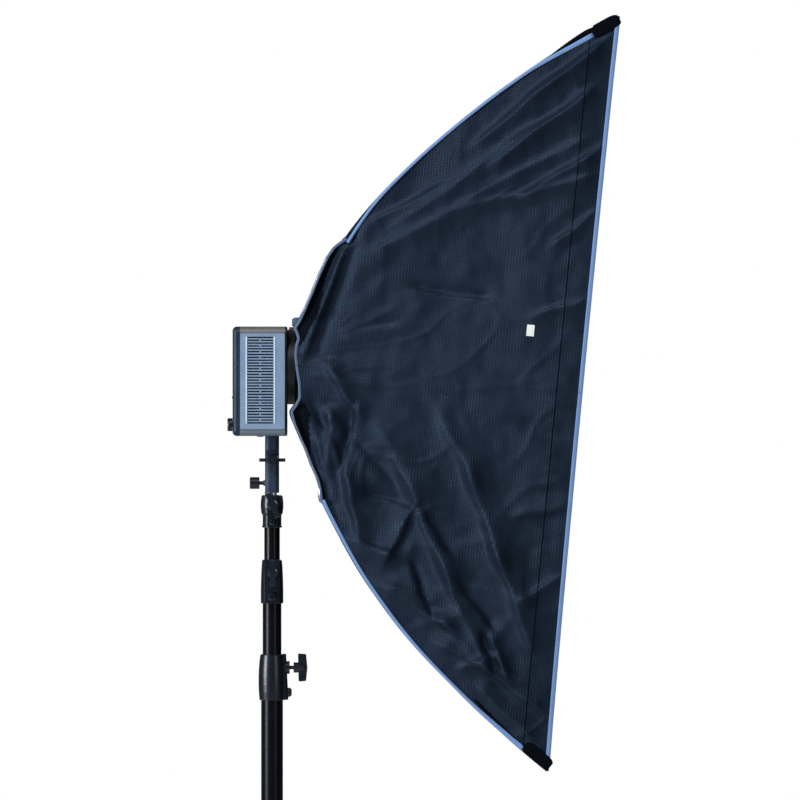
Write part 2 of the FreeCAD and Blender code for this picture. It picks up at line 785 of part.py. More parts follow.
def speed_ring():
    centre = s.optic_height
    back = s.ring_back
    insert = turned(
        [(47, -12), (48.5, -12), (48.5, -1.9), (59, -1.9), (59, -0.2), (54, -0.2), (54, 17), (56.5, 17),
         (56.5, 19), (47, 19)],
        (back, 0, centre), "X",
    )
    node("ring_insert", insert)
    rim = turned(
        [(s.ring_bore, 0), (s.ring_outer, 0), (s.ring_outer, s.ring_thick - 2),
         (s.ring_outer - 2, s.ring_thick), (s.ring_bore, s.ring_thick)],
        (back, 0, centre), "X",
    )
    fork_root = 36
    forks, ways, pins = [], [], []
    for side, up in CORNERS.values():
        y = side * s.hinge_side
        z = centre + up * s.hinge_out
        for shift in (-6.6, 6.6):
            arm = padded(box_outline(-6, 0, 10, s.hinge_out + 5 - fork_root), 4.4, corner=3)
            turn = Rotation() if up > 0 else Rotation(X_AXIS, 180)
            put(arm, (back + 6, y + shift, centre + up * fork_root), turn)
            forks.append(arm)
        ways.append(rod(s.hinge_pin_radius, 30, (s.hinge_forward, y - 15, z), "Y"))
        pins.append(rod(s.hinge_pin_radius, 17, (s.hinge_forward, y - 8.5, z), "Y"))
    hole = rod(s.ring_bore, 60, (back - 20, 0, centre), "X")
    node("rotating_ring", cut(fuse(rim, *forks), hole, *ways))
    node("hinge_pins", fuse(*pins))


# ---------------------------------------------------------------- softbox


def tilted(depth, half, up=1):
    """A point of the softbox's own side view, in the frame: (x, z)."""
    angle = math.radians(number(s.box_tilt))
    x = depth * math.cos(angle) + up * half * math.sin(angle)
    z = up * half * math.cos(angle) - depth * math.sin(angle)
    return number(s.box_back) + x, number(s.optic_height) + z


# the bowed long edge in the side view, as (depth, half height) from its root to the tip
EDGE_BOW = ((53, 206), (146, 336), (253, 446), (360, 537))


def edge_points(inset=0):
    """The bowed edge, moved inward by an inset square to the edge."""
    tip = (number(s.box_depth), number(s.box_half_tall))
    points = list(EDGE_BOW) + [tip]
    moved = []
    for i, (depth, half) in enumerate(points):
        before = points[max(i - 1, 0)]
        after = points[min(i + 1, len(points) - 1)]
        along = (after[0] - before[0], after[1] - before[1])
        size = math.hypot(*along)
        moved.append((depth + inset * along[1] / size, half - inset * along[0] / size))
    return moved


def half_width(depth):
    """Half the softbox's width at a depth in front of the ring."""
    share = depth / number(s.box_depth)
    root = number(s.box_root_half_wide)
    return root + share * (number(s.box_half_wide) - root)


def curve(points):
    """A smooth edge through points (x, z) of the side view."""
    line = Part.BSplineCurve()
    line.interpolate([Vector(x, 0, z) for x, z in points])
    return line.toShape()


def straight(points):
    corners = [Vector(x, 0, z) for x, z in points]
    return [Part.makeLine(a, b) for a, b in zip(corners, corners[1:])]


def leaning(shape, side, depth_rate):
    """Moves a flat side-view slab out to the leaning side wall."""
    angle = math.radians(number(s.box_tilt))
    x0, z0 = number(s.box_back), number(s.optic_height)
    root = number(s.box_root_half_wide)
    lean = Matrix()
    # depth of a point = (x - x0) cos - (z - z0) sin
    lean.A21 = side * depth_rate * math.cos(angle)
    lean.A23 = -side * depth_rate * math.sin(angle)
    lean.A24 = side * (root - depth_rate * (x0 * math.cos(angle) - z0 * math.sin(angle)))
    return shape.transformGeometry(lean)


def width_rate():
    return (number(s.box_half_wide) - number(s.box_root_half_wide)) / number(s.box_depth)


def side_outline():
    """The long side wall, from the notch behind the ring to the front edge."""
    top = [tilted(d, h) for d, h in edge_points()]
    low = [tilted(d, h, -1) for d, h in edge_points()]
    rear_top = [tilted(29, 178), tilted(12, 128), tilted(0, 90)]
    rear_low = [tilted(8, 98, -1), tilted(28, 136, -1), tilted(52, 180, -1)]
    edges = [curve(top)]
    edges += straight([top[-1], low[-1]])
    edges.append(curve(low[::-1]))
    edges += straight([low[0]] + rear_low[::-1])
    edges += straight([rear_low[0], rear_top[-1]])
    edges += straight(rear_top[::-1] + [top[0]])
    return Part.Wire(Part.__sortEdges__(edges))


def side_panels():
    thick = number(s.cloth_thick)
    for name, side in (("side_panel_left", -1), ("side_panel_right", 1)):
        slab = Part.Face(side_outline()).extrude(Vector(0, thick, 0))
        slab.translate(Vector(0, -thick / 2, 0))
        node(name, drawn(name, leaning(slab, side, width_rate())))


def between_walls(inset, low_depth, high_depth):
    """The wedge of space between the two side walls, kept clear of them by an inset."""
    corners = []
    for depth, side in ((low_depth, -1), (high_depth, -1), (high_depth, 1), (low_depth, 1)):
        corners.append(Vector(depth, side * (half_width(depth) - inset), -900))
    corners.append(corners[0])
    wedge = Part.Face(Part.makePolygon(corners)).extrude(Vector(0, 0, 1800))
    wedge.rotate(Vector(), Y_AXIS, number(s.box_tilt))
    wedge.translate(Vector(number(s.box_back), 0, number(s.optic_height)))
    return wedge


def end_panels():
    """The narrow top and bottom walls, bowed over the rods."""
    thick = number(s.cloth_thick)
    inset = thick / 2 + number(s.soft_gap)
    for name, up in (("top_panel", 1), ("bottom_panel", -1)):
        outer = [tilted(d, h, up) for d, h in edge_points()]
        inner = [tilted(d, h, up) for d, h in edge_points(thick)]
        edges = [curve(outer), curve(inner)]
        edges += straight([outer[0], inner[0]]) + straight([outer[-1], inner[-1]])
        strip = Part.Face(Part.Wire(Part.__sortEdges__(edges))).extrude(Vector(0, 400, 0))
        strip.translate(Vector(0, -200, 0))
        wedge = between_walls(inset, -20, number(s.box_depth))
        node(name, drawn(name, strip.common(wedge)))


def flat_cloth(name, depth, margin, thick):
    """A cloth stretched across the softbox at a depth in front of the ring."""
    half_y = half_width(depth) - number(s.cloth_thick) / 2 - margin
    half_z = edge_half(depth) - margin - number(s.cloth_thick)
    cloth = Part.makeBox(thick, 2 * half_y, 2 * half_z, Vector(depth, -half_y, -half_z))
    cloth.rotate(Vector(), Y_AXIS, number(s.box_tilt))
    cloth.translate(Vector(number(s.box_back), 0, number(s.optic_height)))
    return node(name, drawn(name, cloth))


def edge_half(depth):
    """Half the softbox's height at a depth in front of the ring."""
    points = edge_points()
    for (d0, h0), (d1, h1) in zip(points, points[1:]):
        if depth <= d1:
            return h0 + (depth - d0) / (d1 - d0) * (h1 - h0)
    return points[-1][1]


def front_cloths():
    thick = number(s.cloth_thick)
    flat_cloth("front_diffuser", number(s.box_depth - s.lip_deep), 14, thick)
    flat_cloth("inner_baffle", number(s.baffle_depth), 22, thick)
    # binding round the mouth of the softbox
    depth = number(s.box_depth)
    gap = number(s.soft_gap)
    half_y = number(s.box_half_wide) + thick
    half_z = number(s.box_half_tall) + thick
    outer = Part.makeBox(4, 2 * half_y, 2 * half_z, Vector(depth + gap, -half_y, -half_z))
    rim = 7
    inner = Part.makeBox(
        20, 2 * (half_y - rim), 2 * (half_z - rim), Vector(depth - 8, rim - half_y, rim - half_z)
    )
    ring = outer.cut(inner)
    ring.rotate(Vector(), Y_AXIS, number(s.box_tilt))
    ring.translate(Vector(number(s.box_back), 0, number(s.optic_height)))
    node("front_binding", drawn("front_binding", ring))


def rods():
    """Four spring rods, each hooked on its hinge pin and bowed out to a corner."""
    radius = number(s.rod_radius)
    for corner, (side, up) in CORNERS.items():
        x0 = number(s.hinge_forward)
        z0 = number(s.optic_height) + up * number(s.hinge_out)
        y0 = side * number(s.hinge_side)
        hinge = Vector(x0, y0, z0)
        edge = []
        for depth, half in edge_points(number(s.rod_inset)):
            x, z = tilted(depth, half, up)
            edge.append(Vector(x, side * (half_width(depth) - number(s.rod_inset)), z))
        # the rod leaves its eye in the hinge's own plane, towards the root of the cloth
        rise = Vector(edge[0].x - x0, 0, edge[0].z - z0).normalize()
        path = [hinge + rise * 12] + edge
        path[-1] = path[-2] + (path[-1] - path[-2]) * 0.94
        line = Part.BSplineCurve()
        line.interpolate(Points=path, InitialTangent=rise, FinalTangent=path[-1] - path[-2])
        spine = Part.Wire([line.toShape()])
        ring = Part.Wire([Part.makeCircle(radius, path[0], rise)])
        bar = spine.makePipeShell([ring], True, False)
        eye = Part.makeCylinder(4.8, 7.6, Vector(x0, y0 - 3.8, z0), Y_AXIS)
        neck = Part.makeCylinder(radius + 0.8, 15, hinge, rise)
        hole = Part.makeCylinder(number(s.hinge_pin_radius) + 0.05, 20, Vector(x0, y0 - 10, z0), Y_AXIS)
        name = f"rod_{corner}"
        node(name, drawn(name, eye.fuse(neck).fuse(bar).cut(hole)))


# ---------------------------------------------------------------- build and write

column()
tripod_collars()
for number_of_leg, turn_of_leg in enumerate(LEG_TURNS, start=1):
    leg(number_of_leg, turn_of_leg)
    strut(number_of_leg, turn_of_leg)
bracket()
head_case()
head_works()
speed_ring()
rods()
side_panels()
end_panels()
front_cloths()
doc.recompute()

for item in doc.Objects:
    bad = [word for word in ("Invalid", "Error") if word in item.State]
    if bad:
        raise RuntimeError(f"{item.Label} is left {bad}")
for item in nodes:
    if item.Shape.isNull() or not item.Shape.isValid():
        raise RuntimeError(f"{item.Label} has no valid shape")
    item.Shape.exportStep(f"parts/{item.Label}.step")
print(len(nodes), "sub-parts written")
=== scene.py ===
import json
import math

import bpy
import numpy as np
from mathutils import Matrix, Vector, noise


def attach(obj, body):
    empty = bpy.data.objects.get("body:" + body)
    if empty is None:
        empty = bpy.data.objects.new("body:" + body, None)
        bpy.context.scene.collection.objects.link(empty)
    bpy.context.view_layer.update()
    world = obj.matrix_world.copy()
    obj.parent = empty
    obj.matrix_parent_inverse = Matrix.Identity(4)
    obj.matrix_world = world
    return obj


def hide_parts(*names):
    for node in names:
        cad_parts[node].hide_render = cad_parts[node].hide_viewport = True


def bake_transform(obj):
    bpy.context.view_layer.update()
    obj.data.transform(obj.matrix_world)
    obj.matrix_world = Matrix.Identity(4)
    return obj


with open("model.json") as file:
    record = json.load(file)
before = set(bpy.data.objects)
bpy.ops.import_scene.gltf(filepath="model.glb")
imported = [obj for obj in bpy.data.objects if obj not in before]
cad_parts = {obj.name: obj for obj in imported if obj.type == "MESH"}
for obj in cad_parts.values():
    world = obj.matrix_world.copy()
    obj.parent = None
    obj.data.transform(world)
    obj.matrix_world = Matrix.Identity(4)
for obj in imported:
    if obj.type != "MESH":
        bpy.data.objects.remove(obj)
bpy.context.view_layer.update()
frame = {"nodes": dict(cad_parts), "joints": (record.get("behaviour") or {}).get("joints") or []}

# ---------------------------------------------------------------- sizes, in metres

joints = {j["name"]: j for j in frame["joints"]}
OPTIC = Vector(joints["softbox_turn"]["pos_m"])  # centre of the ring, on the optical axis
BOX_BACK = OPTIC.x - 0.001  # where the softbox's own depth starts
TILT = math.radians(5.4)  # how far the softbox leans forward
DEPTH = 0.457
HALF_TALL = 0.606
HALF_WIDE = 0.150  # at the front
ROOT_WIDE = 0.076  # half the width at the ring
LIP = 0.045  # how far the cloth goes on ahead of the diffuser
SEAM_DEPTH = DEPTH - LIP
BAFFLE_DEPTH = 0.250
CLOTH = 0.0011  # thickness
FRONT_WIDE = 0.0072  # width of the front binding
FRONT_GAP = 0.0008  # from the front edge's tips to the full depth
FRONT_PULL = 0.0036  # how far the front edge is pulled in halfway between its tips
TAPE_THICK = 0.0034  # of the piping and the bindings
LOWER_FULLER, LOWER_LATER = 0.0042, 0.0062  # how the lower bowed edge differs, halfway and at the root

# the bowed long edge as (half height, depth)
BOW = ((0.206, 0.053), (0.336, 0.146), (0.446, 0.253), (0.537, 0.360), (0.606, 0.457))
ROOT = BOW[0][0]  # half height at which the rods meet the cloth
END_START = ROOT + 0.006  # half height at which the top and bottom walls start
END_TIP = HALF_TALL - 0.004  # half height at which the cloth ends
# the rear edge of a side wall as (height, depth), wavy where nothing holds it
REAR = (
    (-0.209, 0.0572), (-0.202, 0.0553), (-0.190, 0.0537), (-0.177, 0.0494), (-0.165, 0.0428), (-0.153, 0.0360),
    (-0.141, 0.0304), (-0.128, 0.0240), (-0.116, 0.0168), (-0.104, 0.0105), (-0.092, 0.0040), (-0.081, -0.0010),
    (-0.072, -0.0040), (-0.062, 0.002), (-0.050, 0.007), (-0.028, 0.0046), (-0.003, -0.0016), (0.019, -0.006),
    (0.034, -0.0058), (0.045, -0.0035), (0.054, -0.007), (0.061, -0.011), (0.070, -0.006),
    (0.089, 0.0012), (0.1185, 0.0108), (0.148, 0.0196), (0.178, 0.0300), (0.196, 0.0400), (0.209, 0.0550),
)
SIDES = {"left": -1, "right": 1}
ENDS = {"top": 1, "bottom": -1}


def half_width(depth):
    """Half the width between the side walls at a depth."""
    return ROOT_WIDE + depth / DEPTH * (HALF_WIDE - ROOT_WIDE)


def ease(value, low, high):
    """Rises smoothly from 0 at low to 1 at high."""
    share = np.clip((value - low) / (high - low), 0, 1)
    return share * share * (3 - 2 * share)


bow_fit = np.polyfit(*zip(*BOW), 4)


def bow_depth(height, up=1):
    """Depth of the edge over the rods; the lower edge is fuller halfway and starts further ahead."""
    fuller = LOWER_FULLER * np.exp(-(((np.abs(height) - 0.420) / 0.060) ** 2))
    fuller = fuller - LOWER_LATER * (1 - ease(np.abs(height), 0.235, 0.345))
    return np.polyval(bow_fit, np.abs(height)) - np.where(np.asarray(up) < 0, fuller, 0)


def rear_depth(height):
    """Depth of a side wall's outer edge at a height: bowed over the rods, wavy between them."""
    wavy = np.interp(height, *zip(*REAR))
    return np.where(np.abs(height) > REAR[-1][0], bow_depth(height, np.sign(height)), wavy)


# how wide the band of painted shade along the rear edge is, as (height, width): near-black cloth colour where
# the cloth dips in and lies in shadow
SHADE_BAND = (
    (-0.209, 0.0085), (-0.180, 0.0070), (-0.160, 0.0055), (-0.141, 0.0035), (-0.116, 0.0140), (-0.092, 0.0230),
    (-0.072, 0.0310), (-0.062, 0.0200), (-0.050, 0.0), (0.022, 0.0), (0.042, 0.0100), (0.062, 0.0230),
    (0.085, 0.0250), (0.112, 0.0185), (0.150, 0.0120), (0.190, 0.0080), (0.209, 0.0060),
)


def shade_band_wide(height):
    """Width of the band of painted shade at a height."""
    wide = np.interp(height, *zip(*SHADE_BAND))
    return np.where(np.abs(height) > SHADE_BAND[-1][0], 0.0, wide)


def front_depth(height):
    """Depth of the front edge, pulled in a little between the tips."""
    return DEPTH - FRONT_GAP - FRONT_PULL * (1 - (height / HALF_TALL) ** 2)


def in_frame(depth, across, height):
    """Points of the softbox's own depth, width and height, tilted into the frame."""
    depth, across, height = np.broadcast_arrays(depth, across, height)
    x = BOX_BACK + depth * math.cos(TILT) + height * math.sin(TILT)
    z = OPTIC.z + height * math.cos(TILT) - depth * math.sin(TILT)
    return np.stack([x, across, z], axis=-1).astype(float)


# ---------------------------------------------------------------- meshes


def mesh_object(name, points, faces, uv=None, marks=None, smooth=True):
    """A mesh from points and faces; uv is one pair per point, and marks one material per face."""
    mesh = bpy.data.meshes.new(name)
    mesh.from_pydata([tuple(p) for p in points], [], faces)
    if uv is not None:
        layer = mesh.uv_layers.new(name="cloth")
        loops = np.zeros(len(mesh.loops), np.int32)
        mesh.loops.foreach_get("vertex_index", loops)
        layer.data.foreach_set("uv", np.asarray(uv, np.float32)[loops].ravel())
    if marks is not None:
        mesh.polygons.foreach_set("material_index", np.asarray(marks, np.int32))
    mesh.polygons.foreach_set("use_smooth", [smooth] * len(mesh.polygons))
    mesh.update()
    piece = bpy.data.objects.new(name, mesh)
    bpy.context.scene.collection.objects.link(piece)
    return piece


def sharpen(mesh, loops):
    """Keeps the edges along closed loops of points sharp, so that a sheet shades smoothly up to its rim."""
    total = len(mesh.vertices)
    codes = []
    for loop in loops:
        after = np.roll(loop, -1)
        codes.append(np.minimum(loop, after) * total + np.maximum(loop, after))
    ends = np.zeros(2 * len(mesh.edges), np.int32)
    mesh.edges.foreach_get("vertices", ends)
    ends = ends.reshape(-1, 2).astype(np.int64)
    found = np.isin(ends.min(axis=1) * total + ends.max(axis=1), np.concatenate(codes))
    marks = mesh.attributes.new("sharp_edge", "BOOLEAN", "EDGE")
    marks.data.foreach_set("value", found)


def noise_at(x, y, z):
    """Smooth noise at each of the points, from coordinates that broadcast together."""
    x, y, z = np.broadcast_arrays(x, y, z)
    values = [noise.noise(Vector(place)) for place in zip(x.ravel(), y.ravel(), z.ravel())]
    return np.array(values).reshape(x.shape)


def grid_normals(grid):
    """Unit normals at a grid's points."""
    down = np.gradient(grid, axis=0)
    along = np.gradient(grid, axis=1)
    normal = np.cross(down, along)
    return normal / np.maximum(np.linalg.norm(normal, axis=-1, keepdims=True), 1e-12)


def sheet_mesh(name, grid, uv, outward, thick=CLOTH, inner_mark=None, outer_mark=None):
    """A closed thin sheet over a grid of points; outward is the direction its outer face looks in."""
    rows, columns = grid.shape[:2]
    normal = grid_normals(grid)
    facing = np.einsum("ijk,k->ij", normal, np.asarray(outward, float))
    if facing.mean() < 0:
        normal = -normal
    count = rows * columns
    points = np.concatenate([grid.reshape(-1, 3), (grid - normal * thick).reshape(-1, 3)])
    index = np.arange(count).reshape(rows, columns)
    a, b, c, d = index[:-1, :-1], index[:-1, 1:], index[1:, 1:], index[1:, :-1]
    quads = np.stack([a, b, c, d], axis=-1).reshape(-1, 4)
    middle = (rows // 2, columns // 2)
    first = np.cross(
        grid[middle[0], middle[1] + 1] - grid[middle], grid[middle[0] + 1, middle[1]] - grid[middle]
    )
    if first @ normal[middle] < 0:
        quads = quads[:, ::-1]
    # both layers are split along the same diagonals, so that neither shows through the other
    quads = np.concatenate([quads[:, [0, 1, 2]], quads[:, [0, 2, 3]]])
    inner = quads[:, ::-1] + count
    rim = np.concatenate([index[0, :], index[1:, -1], index[-1, -2::-1], index[-2:0:-1, 0]])
    after = np.roll(rim, -1)
    walls = np.stack([rim, after, after + count, rim + count], axis=-1)
    if first @ normal[middle] >= 0:
        walls = walls[:, ::-1]
    faces = quads.tolist() + inner.tolist() + walls.tolist()
    uv = np.asarray(uv, float).reshape(-1, 2)
    marks = np.zeros(len(faces), int)
    centre = uv[quads].mean(axis=1)
    if inner_mark is not None:
        marks[len(quads):2 * len(quads)] = inner_mark(centre[:, 0])
    if outer_mark is not None:
        marks[:len(quads)] = outer_mark(centre[:, 0], centre[:, 1])
    sheet = mesh_object(name, points, faces, np.concatenate([uv, uv]), marks)
    sharpen(sheet.data, [rim.astype(np.int64), rim.astype(np.int64) + count])
    return sheet


def sweep(name, path, side_of, width, thick, rounding, sides=12):
    """A tape or cord swept along a path; side_of gives the direction that the width lies along."""
    path = np.asarray(path, float)
    side_of = np.asarray(side_of, float)
    tangent = np.gradient(path, axis=0)
    tangent /= np.linalg.norm(tangent, axis=1, keepdims=True)
    across = side_of - np.einsum("ij,ij->i", side_of, tangent)[:, None] * tangent
    across /= np.linalg.norm(across, axis=1, keepdims=True)
    up = np.cross(tangent, across)
    angles = np.linspace(0, 2 * math.pi, sides, endpoint=False)
    # a rounding of 1 makes the section an ellipse, and less makes it squarer
    power = 2 / (2 + 6 * (1 - rounding))
    cs, sn = np.cos(angles), np.sin(angles)
    rings = len(path)
    widths, depths = np.broadcast_to(width, rings), np.broadcast_to(thick, rings)
    ring_a = (np.sign(cs) * np.abs(cs) ** power / 2)[None, :] * widths[:, None]
    ring_b = (np.sign(sn) * np.abs(sn) ** power / 2)[None, :] * depths[:, None]
    points = path[:, None] + across[:, None] * ring_a[..., None] + up[:, None] * ring_b[..., None]
    index = np.arange(rings * sides).reshape(rings, sides)
    turned = np.roll(index, -1, axis=1)
    faces = np.stack([index[:-1], turned[:-1], turned[1:], index[1:]], axis=-1).reshape(-1, 4).tolist()
    faces += [index[0, ::-1].tolist(), index[-1].tolist()]
    steps = np.concatenate([[0], np.cumsum(np.linalg.norm(np.diff(path, axis=0), axis=1))])
    around = np.tile(angles / math.pi * float(widths.max() + depths.max()), rings)
    uv = np.stack([np.repeat(steps, sides), around], axis=-1)
    return mesh_object(name, points.reshape(-1, 3), faces, uv)


# ---------------------------------------------------------------- how the cloth folds

edge_heights = np.linspace(0.18, HALF_TALL, 60)  # half heights along the bowed edge


def fold_weights(points, up):
    """0 along the middle and 1 along the rods: the share of the rods' turn that the cloth follows."""
    hinge = Vector(joints[f"rod_{'top' if up > 0 else 'bottom'}_left_fold"]["pos_m"])
    edge = in_frame(bow_depth(edge_heights), 0, up * edge_heights)
    edge_x, edge_z = edge[:, 0] - hinge.x, up * (edge[:, 2] - hinge.z)
    reach = np.hypot(edge_x, edge_z)
    edge_angle = np.arctan2(edge_z, edge_x)
    x, z = points[:, 0] - hinge.x, up * (points[:, 2] - hinge.z)
    angle = np.arctan2(z, x)
    share = angle / np.interp(np.hypot(x, z), reach, edge_angle)
    return np.clip(share, 0, 1) * np.clip(z / 0.04, 0, 1)


def follow_fold(piece, end):
    """Bakes the piece's transform and works out how far each point would follow the turn between the ring and
    one rod; the weights are not put to use.
    """
    up = ENDS[end]
    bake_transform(piece)
    points = np.array([v.co for v in piece.data.vertices], float).reshape(-1, 3)
    weights = fold_weights(points, up).astype(np.float32)


# ---------------------------------------------------------------- materials


def shader(name):
    """A new material, its tree and its surface node."""
    material = bpy.data.materials.new(name)
    material.use_nodes = True
    tree = material.node_tree
    return material, tree, tree.nodes["Principled BSDF"]


def add(tree, kind, **values):
    """A new node with its own settings."""
    node = tree.nodes.new(kind)
    for key, value in values.items():
        setattr(node, key, value)
    return node


def ramp(tree, source, low, high, from_low=0.0, from_high=1.0):
    """A colour that runs between two others with a value."""
    node = tree.nodes.new("ShaderNodeValToRGB")
    node.color_ramp.elements[0].position = from_low
    node.color_ramp.elements[0].color = (*low, 1)
    node.color_ramp.elements[1].position = from_high
    node.color_ramp.elements[1].color = (*high, 1)
    tree.links.new(source, node.inputs["Fac"])
    return node.outputs["Color"]


def coordinates(tree, kind):
    """Places on the cloth, in metres along it, or places on the object."""
    if kind == "cloth":
        return add(tree, "ShaderNodeUVMap", uv_map="cloth").outputs["UV"]
    return tree.nodes.new("ShaderNodeTexCoord").outputs["Object"]


def bump(tree, height, strength, distance, under=None):
    """Relief from a height, over another relief where one is given."""
    node = add(tree, "ShaderNodeBump")
    node.inputs["Strength"].default_value = strength
    node.inputs["Distance"].default_value = distance
    tree.links.new(height, node.inputs["Height"])
    if under is not None:
        tree.links.new(under, node.inputs["Normal"])
    return node.outputs["Normal"]


def waves(tree, place, direction, period, distortion=0.0):
    """Stripes of a period in metres."""
    node = add(tree, "ShaderNodeTexWave", bands_direction=direction, wave_profile="SIN")
    node.inputs["Scale"].default_value = 2 * math.pi / (20 * period)
    node.inputs["Distortion"].default_value = distortion
    tree.links.new(place, node.inputs["Vector"])
    return node.outputs["Fac"]


def speckle(tree, place, size, detail=3.0, rough=0.6):
    """Noise of a size in metres."""
    node = add(tree, "ShaderNodeTexNoise")
    node.inputs["Scale"].default_value = 1 / size
    node.inputs["Detail"].default_value = detail
    node.inputs["Roughness"].default_value = rough
    tree.links.new(place, node.inputs["Vector"])
    return node.outputs["Fac"]


def math_node(tree, operation, a, b):
    """A sum, product or other result of two values, each a number or a socket."""
    node = add(tree, "ShaderNodeMath", operation=operation)
    for socket, value in zip(node.inputs, (a, b)):
        if isinstance(value, (int, float)):
            socket.default_value = value
        else:
            tree.links.new(value, socket)
    return node.outputs[0]


def weighted(tree, *parts):
    """The sum of values times their weights."""
    total = None
    for value, weight in parts:
        part = math_node(tree, "MULTIPLY", value, weight)
        total = part if total is None else math_node(tree, "ADD", total, part)
    return total


def ripstop(name, dark, light, rough, sheen, spec):
    """Coated nylon: fine ribs across, a coarser ripstop grid, and slow colour drift."""
    material, tree, out = shader(name)
    place = coordinates(tree, "cloth")
    ribs = waves(tree, place, "Y", 0.0030, 0.3)
    warp = waves(tree, place, "X", 0.0048, 0.3)
    ribs, warp = math_node(tree, "POWER", ribs, 4.0), math_node(tree, "POWER", warp, 9.0)
    grid = math_node(tree, "MAXIMUM", ribs, warp)
    drift = speckle(tree, place, 0.05, 5.0)
    thread = speckle(tree, place, 0.0016, 2.0)
    blend = weighted(tree, (drift, 0.55), (grid, 0.22), (thread, 0.2))
    tree.links.new(ramp(tree, blend, dark, light, 0.25, 0.8), out.inputs["Base Color"])
    worn = ramp(tree, drift, (rough - 0.05,) * 3, (rough + 0.09,) * 3, 0.3, 0.75)
    tree.links.new(worn, out.inputs["Roughness"])
    weave = bump(tree, grid, 0.55, 0.0005)
    crease = bump(tree, speckle(tree, place, 0.012, 5.0), 0.22, 0.0016, weave)
    tree.links.new(crease, out.inputs["Normal"])
    out.inputs["Sheen Weight"].default_value = sheen
    out.inputs["Sheen Roughness"].default_value = 0.4
    out.inputs["Sheen Tint"].default_value = (0.55, 0.68, 1.0, 1)
    out.inputs["Specular IOR Level"].default_value = spec
    out.inputs["Specular Tint"].default_value = (0.42, 0.64, 1.0, 1)
    return material


def webbing(name, dark, light):
    """Woven tape: diagonal twill ribs with fuzz."""
    material, tree, out = shader(name)
    place = coordinates(tree, "cloth")
    twill = waves(tree, place, "DIAGONAL", 0.0016, 0.2)
    fuzz = speckle(tree, place, 0.0012, 3.0)
    drift = speckle(tree, place, 0.03, 4.0)
    mix = weighted(tree, (twill, 0.4), (fuzz, 0.3), (drift, 0.3))
    tree.links.new(ramp(tree, mix, dark, light, 0.3, 0.75), out.inputs["Base Color"])
    tree.links.new(bump(tree, mix, 0.4, 0.0006), out.inputs["Normal"])
    out.inputs["Roughness"].default_value = 0.62
    out.inputs["Sheen Weight"].default_value = 0.08
    out.inputs["Sheen Roughness"].default_value = 0.5
    return material


def diffusing(name):
    """White translucent nylon with a faint weave."""
    material, tree, out = shader(name)
    place = coordinates(tree, "cloth")
    weft, warp = waves(tree, place, "Y", 0.0022), waves(tree, place, "X", 0.0022)
    weave = math_node(tree, "MULTIPLY", weft, warp)
    drift = speckle(tree, place, 0.08, 4.0)
    tone = ramp(tree, drift, (0.80, 0.80, 0.78), (0.92, 0.92, 0.91), 0.3, 0.7)
    tree.links.new(tone, out.inputs["Base Color"])
    soft = bump(tree, speckle(tree, place, 0.03, 3.0), 0.25, 0.002, bump(tree, weave, 0.25, 0.0003))
    tree.links.new(soft, out.inputs["Normal"])
    out.inputs["Roughness"].default_value = 0.72
    out.inputs["Sheen Weight"].default_value = 0.2
    out.inputs["Subsurface Weight"].default_value = 0.15
    out.inputs["Subsurface Scale"].default_value = 0.003
    return material


def silver_lining(name):
    """Crinkled silver inside of the cloth."""
    material, tree, out = shader(name)
    place = coordinates(tree, "cloth")
    crinkle = speckle(tree, place, 0.006, 4.0, 0.7)
    dots = waves(tree, place, "DIAGONAL", 0.003, 1.0)
    tone = ramp(tree, crinkle, (0.52, 0.53, 0.55), (0.78, 0.79, 0.80), 0.3, 0.7)
    tree.links.new(tone, out.inputs["Base Color"])
    tree.links.new(bump(tree, dots, 0.25, 0.0004, bump(tree, crinkle, 0.5, 0.001)), out.inputs["Normal"])
    out.inputs["Metallic"].default_value = 0.85
    out.inputs["Roughness"].default_value = 0.34
    return material


def coated(name, dark, light, rough, grain, metal=0.0, coat=0.0, depth=0.0002, spec=0.5, scuff=0.12):
    """Paint, powder coat or moulded plastic: grain, slow colour drift and scuffed roughness."""
    material, tree, out = shader(name)
    place = coordinates(tree, "object")
    fine = speckle(tree, place, grain, 2.0)
    drift = speckle(tree, place, grain * 40, 5.0)
    tree.links.new(ramp(tree, drift, dark, light, 0.3, 0.72), out.inputs["Base Color"])
    low, high = max(rough - scuff / 2, 0.05), min(rough + scuff, 1.0)
    wear = speckle(tree, place, grain * 12, 6.0, 0.7)
    tree.links.new(ramp(tree, wear, (low,) * 3, (high,) * 3, 0.35, 0.7), out.inputs["Roughness"])
    tree.links.new(bump(tree, fine, 0.5, depth), out.inputs["Normal"])
    out.inputs["Metallic"].default_value = metal
    out.inputs["Coat Weight"].default_value = coat
    out.inputs["Coat Roughness"].default_value = 0.25
    out.inputs["Specular IOR Level"].default_value = spec
    return material


def height_shaded_paint(name, low, high, rough, grain):
    """Metallic paint with painted shade by height: bluish towards the bottom, greyer and darker towards the
    top.
    """
    material, tree, out = shader(name)
    place = coordinates(tree, "object")
    # the colour follows the height: painted shade, darker and greyer at the top of the case
    rise = tree.nodes.new("ShaderNodeSeparateXYZ")
    tree.links.new(tree.nodes.new("ShaderNodeTexCoord").outputs["Generated"], rise.inputs[0])
    drift = math_node(tree, "MULTIPLY", speckle(tree, place, grain * 30, 5.0), 0.25)
    tone = math_node(tree, "ADD", rise.outputs["Z"], drift)
    tree.links.new(ramp(tree, tone, low, high, 0.35, 0.85), out.inputs["Base Color"])
    wear = speckle(tree, place, grain * 12, 6.0, 0.7)
    worn = ramp(tree, wear, (rough - 0.06,) * 3, (rough + 0.12,) * 3, 0.35, 0.7)
    tree.links.new(worn, out.inputs["Roughness"])
    tree.links.new(bump(tree, speckle(tree, place, grain, 2.0), 0.5, 0.0002), out.inputs["Normal"])
    out.inputs["Metallic"].default_value = 0.25
    return material


